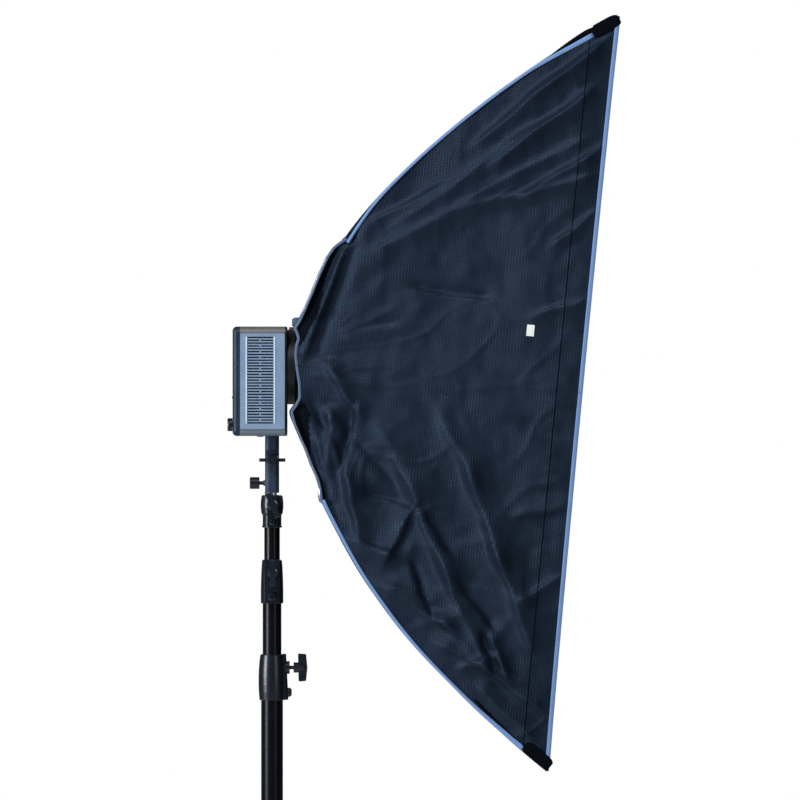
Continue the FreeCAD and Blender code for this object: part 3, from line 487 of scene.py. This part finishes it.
def brushed(name, dark, light, rough):
    """Bare metal with fine upright brush lines."""
    material, tree, out = shader(name)
    place = coordinates(tree, "object")
    scale = add(tree, "ShaderNodeMapping")
    scale.inputs["Scale"].default_value = (1, 1, 0.04)
    tree.links.new(place, scale.inputs["Vector"])
    lines = speckle(tree, scale.outputs["Vector"], 0.0006, 4.0, 0.7)
    tree.links.new(ramp(tree, lines, dark, light, 0.3, 0.7), out.inputs["Base Color"])
    worn = ramp(tree, lines, (rough - 0.06,) * 3, (rough + 0.1,) * 3, 0.3, 0.7)
    tree.links.new(worn, out.inputs["Roughness"])
    tree.links.new(bump(tree, lines, 0.3, 0.0001), out.inputs["Normal"])
    out.inputs["Metallic"].default_value = 1.0
    return material


def frosted_glass(name):
    """Etched glass that lets light through."""
    material, tree, out = shader(name)
    place = coordinates(tree, "object")
    cloud = speckle(tree, place, 0.01, 3.0)
    tree.links.new(ramp(tree, cloud, (0.90, 0.92, 0.93), (0.97, 0.98, 0.98)), out.inputs["Base Color"])
    tree.links.new(ramp(tree, cloud, (0.35,) * 3, (0.5,) * 3), out.inputs["Roughness"])
    tree.links.new(bump(tree, speckle(tree, place, 0.0008), 0.3, 0.0002), out.inputs["Normal"])
    out.inputs["Transmission Weight"].default_value = 0.85
    out.inputs["IOR"].default_value = 1.47
    return material


NAVY = ripstop("navy_ripstop", (0.0042, 0.0070, 0.0135), (0.0118, 0.0190, 0.0345), 0.42, 0.02, 0.26)
# black cloth of the corner pockets and the seam, also used as painted shade on the side walls near the rear
# edge
POCKET = ripstop("black_pocket_and_painted_shade", (0.0010, 0.0013, 0.0021), (0.0034, 0.0041, 0.0060), 0.60, 0.0, 0.06)
BLUE_TAPE = webbing("blue_tape", (0.120, 0.215, 0.430), (0.195, 0.330, 0.620))
# the blue tape darkened as painted shade, for the rear tape that turns away from the light
SHADED_TAPE = webbing("blue_tape_painted_shade", (0.050, 0.085, 0.150), (0.120, 0.185, 0.310))
DARK_TAPE = webbing("dark_tape", (0.008, 0.011, 0.018), (0.020, 0.026, 0.040))
WHITE_TAPE = webbing("white_tape", (0.70, 0.70, 0.68), (0.85, 0.85, 0.83))
SILVER = silver_lining("silver_lining")
DIFFUSER = diffusing("diffuser_nylon")
TUBE_BLACK = coated(
    "tube_black", (0.0014, 0.0018, 0.0028), (0.0028, 0.0036, 0.0054), 0.27, 0.0012,
    spec=0.20, scuff=0.02, depth=0.00002,
)
MOULDED = coated(
    "moulded_black", (0.0026, 0.0048, 0.0100), (0.0052, 0.0090, 0.0175), 0.30, 0.0009,
    spec=0.55, scuff=0.04, depth=0.00003,
)
RUBBER = coated(
    "foot_rubber", (0.010, 0.010, 0.010), (0.022, 0.022, 0.021), 0.75, 0.0014, depth=0.0005, spec=0.3
)
BRACKET = coated("bracket_navy", (0.022, 0.037, 0.066), (0.040, 0.060, 0.100), 0.36, 0.0010, metal=0.35)
# the head's case, with painted shade by height
CASE = height_shaded_paint("case_painted", (0.150, 0.180, 0.235), (0.145, 0.142, 0.140), 0.42, 0.0010)
PLATE = coated(
    "plate_blue_grey", (0.22, 0.31, 0.45), (0.27, 0.36, 0.51), 0.36, 0.0008, metal=0.2, coat=0.2
)
# bright light blue: painted highlight for the light caught along the louvres' edges
HIGHLIGHT_TRIM = coated("trim_painted_highlight", (0.60, 0.72, 0.88), (0.68, 0.80, 0.94), 0.40, 0.0008, metal=0.1)
SLATE = webbing("slate_loop", (0.018, 0.040, 0.075), (0.040, 0.080, 0.135))
# near-black panel behind the louvres: painted shade for the dark inside of the head
SHADE_PANEL = coated(
    "shade_panel", (0.004, 0.007, 0.012), (0.011, 0.016, 0.026), 0.9, 0.0011, depth=0.0009, spec=0.1
)
COVER = coated(
    "cover_navy", (0.010, 0.021, 0.042), (0.016, 0.032, 0.060), 0.42, 0.0010, depth=0.0003, spec=0.3
)
BEZEL = coated("bezel_black", (0.005, 0.006, 0.008), (0.010, 0.011, 0.014), 0.40, 0.0009, spec=0.3)
ANODISED = brushed("anodised_ring", (0.006, 0.007, 0.010), (0.018, 0.020, 0.026), 0.40)
BRIGHT = brushed("bright_steel", (0.55, 0.56, 0.58), (0.78, 0.79, 0.80), 0.22)
SPRING = brushed("spring_steel", (0.18, 0.19, 0.20), (0.34, 0.35, 0.37), 0.34)
ALLOY = brushed("bare_alloy", (0.42, 0.43, 0.45), (0.62, 0.63, 0.65), 0.30)
LAMP = coated("lamp_ceramic", (0.70, 0.68, 0.58), (0.85, 0.83, 0.74), 0.35, 0.001)
BOARD = coated("board_green", (0.010, 0.055, 0.022), (0.020, 0.095, 0.040), 0.30, 0.001, coat=0.4)
DISPLAY = coated(
    "display_glass", (0.004, 0.006, 0.010), (0.010, 0.013, 0.020), 0.10, 0.002, coat=0.8, depth=0.00002
)
GLASS = frosted_glass("frosted_glass")


def dress(material, *names):
    """Gives CAD nodes a finished material."""
    for name in names:
        node = frame["nodes"][name]
        for place in node.material_slots:
            place.material = material
        if not node.material_slots:
            node.data.materials.append(material)


dress(TUBE_BLACK, "outer_tube", "section_2_tube", "section_3_tube", "section_4_tube")
for number in (1, 2, 3):
    dress(TUBE_BLACK, f"leg_tube_{number}", f"strut_{number}")
    dress(RUBBER, f"leg_foot_{number}")
dress(
    MOULDED, "base_collar", "leg_collar", "leg_collar_knob", "spigot_thumbscrew", "tilt_handle", "rear_dial",
    "power_switch", "power_inlet",
)
for letter in "abc":
    dress(MOULDED, f"collar_{letter}", f"collar_{letter}_knob")
dress(BRIGHT, "spigot", "leg_pins", "tilt_bolt", "bayonet_latch", "hinge_pins")
dress(BRACKET, "spigot_receiver", "tilt_tongue")
dress(CASE, "head_case")
dress(PLATE, "side_plate_left", "side_plate_right")
dress(COVER, "rear_cover")
dress(BEZEL, "front_bezel", "bayonet_collar", "fan_rotor")
dress(ANODISED, "rotating_ring", "ring_insert")
dress(SPRING, *(f"rod_{end}_{side_name}" for end in ENDS for side_name in SIDES))
dress(ALLOY, "heat_sink")
dress(LAMP, "lamp_module")
dress(BOARD, "circuit_board")
dress(DISPLAY, "display_window")
dress(GLASS, "glass_dome")

# ---------------------------------------------------------------- side walls

# folds as (start, end, width, height): places are (depth, height), and a minus height is a valley
FOLDS = (
    ((0.150, -0.100), (0.196, -0.176), 0.016, 0.0045), ((0.196, -0.176), (0.262, -0.300), 0.018, 0.0075),
    ((0.262, -0.300), (0.330, -0.425), 0.018, 0.0070), ((0.235, -0.060), (0.290, -0.150), 0.015, 0.0055),
    ((0.290, -0.150), (0.345, -0.270), 0.016, 0.0080), ((0.345, -0.270), (0.404, -0.395), 0.014, 0.0070),
    ((0.182, -0.345), (0.268, -0.385), 0.013, 0.0060), ((0.268, -0.385), (0.305, -0.415), 0.011, 0.0050),
    ((0.069, -0.116), (0.100, -0.190), 0.012, 0.0065), ((0.100, -0.190), (0.119, -0.251), 0.012, 0.0060),
    ((0.200, -0.212), (0.172, -0.283), 0.010, 0.0065), ((0.172, -0.283), (0.112, -0.267), 0.010, 0.0055),
    ((0.278, -0.422), (0.347, -0.452), 0.010, 0.0060), ((0.347, -0.452), (0.423, -0.500), 0.012, 0.0060),
    ((0.310, -0.448), (0.347, -0.431), 0.008, 0.0050), ((0.344, -0.489), (0.416, -0.546), 0.010, 0.0045),
    ((0.335, -0.405), (0.352, -0.445), 0.008, -0.0055), ((0.350, -0.408), (0.372, -0.450), 0.008, 0.0050),
    ((0.140, -0.190), (0.215, -0.205), 0.009, -0.0045), ((0.215, -0.300), (0.245, -0.365), 0.010, -0.0050),
    ((0.060, -0.060), (0.165, -0.165), 0.013, -0.0040), ((0.150, 0.250), (0.320, 0.400), 0.018, 0.0050),
    ((0.120, 0.205), (0.390, 0.385), 0.016, 0.0045), ((0.258, 0.390), (0.408, 0.535), 0.012, 0.0050),
    ((0.291, 0.363), (0.410, 0.470), 0.012, 0.0060), ((0.347, 0.316), (0.452, 0.395), 0.011, 0.0055),
    ((0.250, 0.280), (0.440, 0.345), 0.012, 0.0040), ((0.181, 0.144), (0.282, 0.138), 0.0075, -0.0045),
    ((0.099, 0.074), (0.136, 0.082), 0.007, -0.0030), ((0.046, 0.192), (0.000, 0.066), 0.0070, -0.0055),
    ((0.056, 0.196), (0.012, 0.030), 0.0075, 0.0060), ((0.072, 0.190), (0.034, 0.040), 0.0095, -0.0035),
    ((0.053, -0.003), (0.096, -0.059), 0.009, 0.0065), ((0.040, -0.010), (0.110, -0.020), 0.010, 0.0035),
    ((0.030, -0.060), (0.075, -0.120), 0.009, -0.0055), ((0.045, -0.130), (0.062, -0.195), 0.008, 0.0055),
    ((0.094, -0.062), (0.085, -0.150), 0.009, -0.0060), ((0.058, -0.075), (0.062, -0.140), 0.010, 0.0050),
    ((0.375, 0.120), (0.452, 0.150), 0.011, 0.0035), ((0.380, -0.200), (0.452, -0.180), 0.011, 0.0045),
    ((0.370, -0.060), (0.452, -0.075), 0.012, -0.0032), ((0.395, -0.330), (0.452, -0.290), 0.010, 0.0045),
    ((0.145, -0.330), (0.240, -0.350), 0.009, 0.0040), ((0.235, -0.225), (0.262, -0.262), 0.009, -0.0045),
    ((0.080, 0.230), (0.190, 0.300), 0.011, 0.0040), ((0.330, 0.465), (0.436, 0.560), 0.009, 0.0040),
    ((0.395, 0.240), (0.448, 0.290), 0.009, 0.0045), ((0.300, -0.330), (0.340, -0.372), 0.009, -0.0045),
)


def fold_lift(depth, height, seed):
    """How far the larger folds stand out of the flat wall; a seed other than 0 is the far wall's."""
    lift = np.zeros(np.shape(depth))
    for index, ((d0, h0), (d1, h1), width, rise) in enumerate(FOLDS):
        if seed:
            # the far wall's folds are the near one's upside down, and moved a little
            shift = 0.012 * math.sin(index * 2.4 + seed)
            d0, d1, h0, h1 = d0 + shift, d1 + shift, -h0 - shift, -h1 - shift
        length = math.hypot(d1 - d0, h1 - h0)
        ax, ah = (d1 - d0) / length, (h1 - h0) / length
        along = (depth - d0) * ax + (height - h0) * ah
        bend = 0.12 * width * np.sin(along / length * 7 + index)
        aside = (depth - d0) * ah - (height - h0) * ax + bend
        past = np.maximum(np.maximum(-along, along - length), 0)
        # one flank is steep and the other gentle; which one depends on the way the fold is drawn
        falling = ax * ah < 0 or abs(ah) < 0.3
        steep = aside > 0 if falling else aside < 0
        away = np.hypot(aside / np.where(steep, 0.55 * width, 1.30 * width), 0.26)
        lift += 2.0 * rise * np.exp(-away * (0.6 + 0.4 * away)) * np.exp(-((past / (width * 1.8)) ** 2))
    return lift


def ripple(depth, height, seed):
    """Slack in the cloth, stretched along lines that fan out from the ring, and its small creases."""
    radius = np.hypot(depth + 0.05, height)
    angle = np.arctan2(height, depth + 0.05)
    fan = noise_at(angle * 5.5, radius * 5.0, seed)
    slack = noise_at(depth * 16, height * 13, seed + 7)
    fine = noise_at(depth * 46, height * 36, seed + 11)
    crease = noise_at(angle * 3.6, radius * 8.0, seed + 17)
    crossing = noise_at(depth * 8 + 0.6 * crease, height * 9, seed + 23)
    sharp, crossed = (np.maximum(0, 1 - 7 * np.abs(line)) ** 1.5 for line in (crease, crossing))
    # the near wall's lower half is the looser one, and the far wall's upper half
    loose = 0.35 + 0.65 * np.clip(0.25 - 1.6 * height * (-1 if seed else 1), 0, 1)
    out = 0.0034 * fan + 0.0034 * slack + 0.0012 * fine + 0.0026 * (sharp + 0.8 * crossed) * loose
    # small gathers along the seam
    pucker = np.exp(-(((depth - SEAM_DEPTH) / 0.010) ** 2))
    return out + 0.0007 * pucker * np.sin(height / 0.0052 + 2 * np.sin(height / 0.021))


def held(depth, height):
    """0 where the cloth is sewn or tied, and 1 where it is free."""
    from_edge = np.clip((depth - rear_depth(height)) / 0.045, 0, 1)
    near_front = np.clip((DEPTH - depth) / 0.030, 0, 1)
    tip = np.clip((HALF_TALL - np.abs(height)) / 0.05, 0, 1)
    free = 0.12 + 0.88 * from_edge * (2 - from_edge)
    return free * (0.25 + 0.75 * near_front) * tip


def wall_across(depth, height, side):
    """How far out a side wall stands, with its folds; the near wall is at the left."""
    seed = 0 if side < 0 else 3.1
    sag = -0.004 * np.sin(math.pi * np.clip((depth - rear_depth(height)) / 0.4, 0, 1))
    lift = fold_lift(depth, height, seed) + ripple(depth, height, seed)
    # the lip ahead of the seam leans in, and the cloth is drawn in near the rear edge, beside the band of
    # painted shade
    tucked = ease(np.abs(height), 0.050, 0.090) * (1 - ease(np.abs(height), 0.190, 0.250))
    lip = 0.10 * np.clip(depth - SEAM_DEPTH, 0, None) * ease(HALF_TALL - np.abs(height), 0.0, 0.10)
    past_tape = depth - rear_depth(height) - 0.011
    tuck = lip + 0.0075 * tucked * np.exp(-((past_tape / 0.0075) ** 2))
    return side * (half_width(depth) + sag - tuck + lift * held(depth, height))


ROWS, COLUMNS = 170, 120  # of points in half a side wall


def wall_grid(up, side):
    """One half of a side wall, from the middle to a tip, as a grid in depth and height."""
    height = up * np.linspace(0, END_TIP, ROWS)[:, None]
    share = np.linspace(0, 1, COLUMNS)[None, :]
    start = rear_depth(height)
    depth = start + (front_depth(height) - start) * share
    height = np.broadcast_to(height, depth.shape)
    return depth, height, wall_across(depth, height, side)


def give(piece, *materials):
    """Gives a piece its materials, in the order of its faces' marks."""
    for material in materials:
        piece.data.materials.append(material)


for side_name, side in SIDES.items():
    for end, up in ENDS.items():
        depth, height, across = wall_grid(up, side)
        grid = in_frame(depth, across, height)
        # near the rear edge the outer face takes the black pocket cloth as painted shade, for the shadow where
        # the cloth dips in
        wall = sheet_mesh(
            f"side_cloth_{side_name}_{end}", grid, np.stack([depth, height], axis=-1), (0, side, 0),
            inner_mark=lambda d: np.where(d < SEAM_DEPTH, 1, 0),
            outer_mark=lambda d, h: np.where(d - rear_depth(h) < shade_band_wide(h), 2, 0),
        )
        give(wall, NAVY, SILVER, POCKET)
        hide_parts(f"side_panel_{side_name}")
        follow_fold(wall, end)

# ---------------------------------------------------------------- top and bottom walls


def end_wall(end):
    """The narrow wall over the rods, a little slack between them."""
    up = ENDS[end]
    along = np.linspace(0, 1, 120)[:, None]
    share = np.linspace(-1, 1, 40)[None, :]
    height = END_START + (END_TIP - END_START) * along
    depth = bow_depth(height, up)
    reach = half_width(depth) - 0.0012
    across = reach * share
    values = noise_at(height * 16, across * 13, up * 5.0)
    # slack between the rods, less at the root, and none where the diffuser meets the wall
    free = (1 - share ** 2) * np.clip(along / 0.08, 0.3, 1) * ease(1 - along, 0.10, 0.32)
    inward = (0.010 - 0.004 * values) * free
    slope = np.gradient(depth[:, 0]) / np.gradient(height[:, 0])
    length = np.sqrt(1 + slope ** 2)[:, None]
    height = np.broadcast_to(height, across.shape) - inward / length
    depth = np.broadcast_to(depth, across.shape) + inward * (slope[:, None] / length)
    grid = in_frame(depth, across, up * height)
    middle = grid[:, across.shape[1] // 2]
    steps = np.cumsum(np.concatenate([[0], np.linalg.norm(np.diff(middle, axis=0), axis=1)]))
    uv = np.stack(np.broadcast_arrays(across, steps[:, None]), axis=-1)
    wall = sheet_mesh(f"{end}_cloth", grid, uv, (-1, 0, up))
    give(wall, NAVY)
    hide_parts(f"{end}_panel")
    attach(wall, f"rod_{end}_left")


for end in ENDS:
    end_wall(end)

# ---------------------------------------------------------------- piping, bindings and seams


def smooth_steps(low, high, step):
    """Values from low to high, about a step apart."""
    return np.linspace(low, high, max(4, int(abs(high - low) / step)))


def along_wall(depth, height, side, proud):
    """Points that stand proud of a side wall's outer face."""
    across = wall_across(depth, height, side) + side * proud
    return in_frame(depth, across, height)


# half height of the diffuser's edge, where a corner pocket starts
POCKET_START = float(np.interp(SEAM_DEPTH, bow_depth(edge_heights), edge_heights))


def along_bow(height, inset, up):
    """Depths and heights of points set in from the bowed edge, and the way in."""
    edge = bow_depth(height, up)
    slope = np.gradient(edge) / np.gradient(height)
    length = np.sqrt(1 + slope ** 2)
    inward = np.stack([1 / length, -slope / length], axis=-1)
    return edge + inset * inward[:, 0], height + inset * inward[:, 1], inward


def direction(inward, up):
    """A direction of depth and height, in the frame."""
    return in_frame(inward[:, 0], 0, up * inward[:, 1]) - in_frame(0, 0, 0)


for side_name, side in SIDES.items():
    for end, up in ENDS.items():
        # piping beside the rod, from the root to the pocket
        height = smooth_steps(ROOT + 0.002, POCKET_START, 0.004)
        middle, more_at_root, more_at_tip = (0.0026, 0.0045, 0.0055) if up > 0 else (0.0016, -0.0010, 0.0030)
        inset = middle + more_at_root * (1 - ease(height, 0.205, 0.290))
        inset = inset + more_at_tip * ease(height, 0.500, POCKET_START)
        depth, low_height, inward = along_bow(height, inset, up)
        path = in_frame(depth, side * (half_width(depth) + 0.0010), up * low_height)
        wide = 0.0048 + 0.0030 * ease(height, 0.470, POCKET_START)
        piping = sweep(f"piping_{side_name}_{end}", path, direction(inward, up), wide, TAPE_THICK, 0.7)
        give(piping, BLUE_TAPE)
        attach(piping, f"rod_{end}_{side_name}")

        # binding along the front edge
        height = up * smooth_steps(0, HALF_TALL - 0.013, 0.005)
        depth = front_depth(height) - FRONT_WIDE / 2 + 0.0010
        path = along_wall(depth, height, side, 0.0003)
        ahead = in_frame(depth + 0.01, wall_across(depth, height, side), height) - path
        binding = sweep(f"front_binding_{side_name}_{end}", path, ahead, FRONT_WIDE, TAPE_THICK, 0.3)
        give(binding, BLUE_TAPE)
        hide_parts("front_binding")
        follow_fold(binding, end)

        # sewn seam of the recessed lip
        height = up * smooth_steps(0, POCKET_START - 0.004, 0.004)
        depth = np.full(height.shape, SEAM_DEPTH)
        path = along_wall(depth, height, side, 0.0002)
        ahead = np.tile([math.cos(TILT), 0, -math.sin(TILT)], (len(path), 1))
        seam = sweep(f"seam_{side_name}_{end}", path, ahead, 0.0014, 0.0006, 0.5, sides=8)
        give(seam, POCKET)
        follow_fold(seam, end)

        # tape on the rear edge, wavy where it is free, in a darker blue that is painted shade
        height = up * smooth_steps(0, END_START, 0.003)
        depth = rear_depth(height)
        path = along_wall(depth + 0.0010, height, side, 0.0003)
        inward = in_frame(depth + 0.01, wall_across(depth, height, side), height) - path
        narrow = ease(up * height, 0.075, 0.095) * (1 - ease(up * height, 0.185, 0.205))
        wide = 0.0046 - (0.0010 if up > 0 else 0.0022) * narrow
        tape = sweep(f"rear_tape_{side_name}_{end}", path, inward, wide, 0.0028, 0.5)
        give(tape, SHADED_TAPE)
        follow_fold(tape, end)

for end, up in ENDS.items():
    # short front binding and the free rear edge of the end wall
    root_depth = float(bow_depth(END_START)) + (0 if up > 0 else 0.003)
    for name, depth, height, slack, wide, material in (
        ("front", DEPTH - 0.0060, END_TIP - 0.0020, 0.0, FRONT_WIDE, BLUE_TAPE),
        ("root", root_depth, END_START, 0.0018, 0.006, DARK_TAPE if up > 0 else BLUE_TAPE),
    ):
        reach = half_width(depth) - 0.006
        across = np.linspace(-reach, reach, 40)
        tall = height - slack * (1 - (across / reach) ** 2)
        path = in_frame(depth, across, up * tall)
        ahead = in_frame(depth + 0.01, across, up * (tall + 0.008)) - path
        edge = sweep(f"{end}_{name}_edge", path, ahead, wide, TAPE_THICK, 0.3)
        give(edge, material)
        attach(edge, f"rod_{end}_left")

# ---------------------------------------------------------------- corner pockets


def corner_pocket(end, side_name):
    """A stout sleeve over the corner that takes the rod's tip, closed with a rounded end."""
    up, side = ENDS[end], SIDES[side_name]
    height = smooth_steps(0.498, HALF_TALL - 0.0030, 0.0016)
    grown = ease(height, 0.498, POCKET_START)
    stout = ease(height, POCKET_START - 0.003, POCKET_START + 0.003)
    # it stays full up to the closed end, and rounds off there
    plump = np.sqrt(np.clip(1 - (np.clip(height - HALF_TALL + 0.011, 0, None) / 0.0082) ** 2, 0.02, 1))
    # the sleeve's two edges, set in from the bowed edge: slim beside the piping, stout past it
    set_in = 0 if up > 0 else 0.0050
    slim_out = 0.0030 - 0.0075 * grown + set_in
    slim_in = slim_out + 0.004 + 0.004 * grown
    outside = slim_out * (1 - stout) + (set_in - 0.0050) * stout
    inside = slim_in * (1 - stout) + (0.0165 + set_in) * stout
    depth, low_height, inward = along_bow(height, (outside + inside) / 2, up)
    path = in_frame(depth, side * (half_width(depth) - 0.0024), up * low_height)
    width = (inside - outside) * (0.45 + 0.55 * plump)
    thick = 0.0050 + 0.0050 * grown * (0.5 + 0.5 * plump)
    pocket = sweep(
        f"corner_pocket_{end}_{side_name}", path, direction(inward, up), width, thick, 0.45, sides=24
    )
    give(pocket, POCKET)
    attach(pocket, f"rod_{end}_{side_name}")


for end in ENDS:
    for side_name in SIDES:
        corner_pocket(end, side_name)

# ---------------------------------------------------------------- diffusers


def stretched_cloth(name, end, depth, margin, node, sag):
    """Half of a cloth stretched across the softbox, its long edges along the side walls."""
    up = ENDS[end]
    reach_z = float(np.interp(depth, bow_depth(edge_heights), edge_heights)) - 0.006 - margin
    height = up * np.linspace(0, reach_z, 90)[:, None]
    share = np.linspace(-1, 1, 60)[None, :]
    edges = {side: wall_across(np.full(height.shape, depth), height, side) for side in (-1, 1)}
    gap = CLOTH + 0.0012 + margin
    left, right = edges[-1] + gap, edges[1] - gap
    across = left + (right - left) * (share + 1) / 2
    free = (1 - (height / reach_z) ** 4) * (1 - share ** 2)
    values = noise_at(height * 9, across * 9, depth * 40)
    # small gathers where the cloth is sewn in at the tip
    gathers = 0.0015 * np.sin(across / 0.011) * (height / reach_z) ** 12
    out = sag * free * (0.6 + 0.8 * values) + gathers
    tall = np.broadcast_to(height, free.shape)
    grid = in_frame(depth + out, across, tall)
    cloth = sheet_mesh(f"{name}_{end}", grid, np.stack([across, tall], axis=-1), (1, 0, 0))
    give(cloth, DIFFUSER)
    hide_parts(node)
    # it spans the whole width
    follow_fold(cloth, end)


for end in ENDS:
    stretched_cloth("diffuser", end, SEAM_DEPTH, 0.0, "front_diffuser", 0.004)
    stretched_cloth("baffle", end, BAFFLE_DEPTH, 0.016, "inner_baffle", 0.008)

# ---------------------------------------------------------------- trim of the head and the ring

PLATE_OUT = 0.0595  # how far out the head's side plates stand
LOUVRES = {"rear": -0.0416, "front": 0.0034}  # x of the strips at the louvres' ends
LOUVRE_LOW, LOUVRE_HIGH = 1.6089, 1.7483
FOAM_CORNER = (-0.0450, 1.6060)  # its lower rear corner as (x, z)
FOAM_OUT = 0.0545  # how far out its outer face stands
FOAM_LONG, FOAM_TALL, FOAM_THICK = 0.052, 0.146, 0.003
LOOP_X, LOOP_UP = 0.0425, 0.0718  # where the rods' loops lie, from the frame's origin and the optical axis
LOOP_START, LOOP_LONG = 0.0400, 0.0220  # across the softbox


def straight_strip(name, path, wide, thick, material, owner):
    """A strip whose width lies along the frame's depth direction."""
    piece = sweep(name, path, np.tile([1.0, 0, 0], (len(path), 1)), wide, thick, 0.5)
    give(piece, material)
    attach(piece, owner)


def crumpled_slab(name, corner, step_a, step_b, material, owner, outward):
    """A thin porous slab with an uneven face, from a corner and its two edges."""
    corner, step_a, step_b = (np.array(v, float) for v in (corner, step_a, step_b))
    a = np.linspace(0, 1, 40)[:, None, None]
    b = np.linspace(0, 1, 60)[None, :, None]
    grid = corner + a * step_a + b * step_b
    bumps = 0.0006 * noise_at(*np.moveaxis(grid * 260, -1, 0))
    grid = grid + bumps[..., None] * np.asarray(outward, float)
    along_a, along_b = np.linalg.norm(a * step_a, axis=-1), np.linalg.norm(b * step_b, axis=-1)
    uv = np.stack(np.broadcast_arrays(along_a, along_b), axis=-1)
    slab = sheet_mesh(name, grid, uv, outward, thick=FOAM_THICK)
    give(slab, material)
    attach(slab, owner)


# raised strips beside the louvres, whose bright colour is a painted highlight along the grille's edges, and a
# dark filter panel behind them that shows through as painted shade for the head's dark inside
for side_name, side in SIDES.items():
    rise = np.linspace(LOUVRE_LOW, LOUVRE_HIGH, 30)
    for place, x in LOUVRES.items():
        path = np.stack(np.broadcast_arrays(x, side * PLATE_OUT, rise), axis=-1)
        straight_strip(f"louvre_trim_{place}_{side_name}", path, 0.0020, 0.0016, HIGHLIGHT_TRIM, "head")
    corner = (FOAM_CORNER[0], side * FOAM_OUT, FOAM_CORNER[1])
    crumpled_slab(
        f"shade_panel_{side_name}", corner, (FOAM_LONG, 0, 0), (0, 0, FOAM_TALL), SHADE_PANEL, "head", (0, side, 0)
    )

# cloth loops that keep the rods' roots in the ring's forks
for end, up in ENDS.items():
    for side_name, side in SIDES.items():
        share = np.linspace(0, 1, 24)
        across = side * (LOOP_START + LOOP_LONG * share)
        path = np.stack(np.broadcast_arrays(LOOP_X, across, OPTIC.z + up * LOOP_UP), axis=-1)
        puffed = 0.74 + 0.26 * np.sqrt(np.clip(1 - (2 * share - 1) ** 4, 0, 1))
        straight_strip(
            f"rod_loop_{end}_{side_name}", path, 0.0200 * puffed, 0.0145 * puffed, SLATE, "softbox"
        )

# blank sewn label on the side wall facing the camera
LABEL_TALL, LABEL_WIDE = 0.018, 0.012
LABEL_TOP, LABEL_REAR = 0.1010, 0.3560
height, depth = np.meshgrid(
    LABEL_TOP - np.linspace(0, LABEL_TALL, 14), LABEL_REAR + np.linspace(0, LABEL_WIDE, 12), indexing="ij"
)
grid = in_frame(depth, wall_across(depth, height, -1) - 0.0006, height)
label = sheet_mesh("blank_label", grid, np.stack([depth, height], axis=-1), (0, -1, 0), thick=0.0005)
give(label, WHITE_TAPE)
follow_fold(label, "top")

# ---------------------------------------------------------------- floor, light and camera


def stage_floor():
    """A plain pale round floor."""
    material, tree, out = shader("pale_floor")
    place = coordinates(tree, "object")
    tone = ramp(tree, speckle(tree, place, 0.4), (0.80, 0.80, 0.80), (0.84, 0.84, 0.84))
    tree.links.new(tone, out.inputs["Base Color"])
    out.inputs["Roughness"].default_value = 0.9
    radius, corners = 12, 96
    turns = [i * math.tau / corners for i in range(corners)]
    points = [(radius * math.cos(turn), radius * math.sin(turn), 0) for turn in turns]
    floor = mesh_object("floor", points, [tuple(range(corners))], smooth=False)
    floor.data.materials.append(material)


LIT_PLACE = Vector((0.2, 0, 1.65))  # in the softbox; every light points at it


def area_light(name, place, size, power, colour):
    """A soft rectangular light that points at the softbox."""
    data = bpy.data.lights.new(name, "AREA")
    data.shape = "RECTANGLE"
    data.size, data.size_y = size
    data.energy = power
    data.color = colour
    lamp = bpy.data.objects.new(name, data)
    bpy.context.scene.collection.objects.link(lamp)
    lamp.location = place
    lamp.rotation_mode = "QUATERNION"
    lamp.rotation_quaternion = (LIT_PLACE - Vector(place)).to_track_quat("-Z", "Y")


def lights():
    """A white backdrop, dim surroundings, three soft lights on the camera's side and a weak one behind."""
    world = bpy.data.worlds.new("studio")
    world.use_nodes = True
    tree = world.node_tree
    seen = tree.nodes["Background"]
    seen.inputs["Color"].default_value = (1, 1, 1, 1)
    seen.inputs["Strength"].default_value = 1.0
    around = tree.nodes.new("ShaderNodeBackground")
    around.inputs["Color"].default_value = (0.86, 0.93, 1.0, 1)
    around.inputs["Strength"].default_value = 0.10
    pick = tree.nodes.new("ShaderNodeMixShader")
    path = tree.nodes.new("ShaderNodeLightPath")
    tree.links.new(path.outputs["Is Camera Ray"], pick.inputs[0])
    tree.links.new(around.outputs[0], pick.inputs[1])
    tree.links.new(seen.outputs[0], pick.inputs[2])
    tree.links.new(pick.outputs[0], tree.nodes["World Output"].inputs["Surface"])
    bpy.context.scene.world = world
    area_light("fill", (-1.2, -2.4, 4.4), (0.8, 0.8), 95, (0.97, 0.985, 1.0))
    area_light("strip_left", (-3.0, -1.6, 1.8), (1.0, 1.7), 105, (0.90, 0.96, 1.0))
    area_light("strip_right", (2.2, -3.0, 1.9), (0.35, 1.8), 12, (0.90, 0.96, 1.0))
    area_light("back", (0.8, 3.2, 2.6), (1.6, 1.6), 9, (1, 1, 1))


FRAME_SPAN = 1.2832  # metres that the square picture spans at the object
CAMERA_AWAY = 14.0
CAMERA_TURN = math.radians(1.5)
AIM_AHEAD, AIM_BELOW = 0.165212, 0.052932  # from the ring's centre to the middle of the picture


def camera():
    """Level and from the side, a little behind the softbox, with a long lens."""
    data = bpy.data.cameras.new("camera")
    data.sensor_width = 36  # mm
    data.lens = data.sensor_width * CAMERA_AWAY / FRAME_SPAN
    data.clip_end = 100
    view = bpy.data.objects.new("camera", data)
    bpy.context.scene.collection.objects.link(view)
    aim = Vector((BOX_BACK + AIM_AHEAD, 0, OPTIC.z - AIM_BELOW))
    back = Vector((-math.sin(CAMERA_TURN), -math.cos(CAMERA_TURN), 0))
    view.location = aim + back * CAMERA_AWAY
    view.rotation_mode = "QUATERNION"
    view.rotation_quaternion = (-back).to_track_quat("-Z", "Y")
    bpy.context.scene.camera = view


stage_floor()
lights()
camera()
bpy.context.scene.view_settings.view_transform = "Standard"
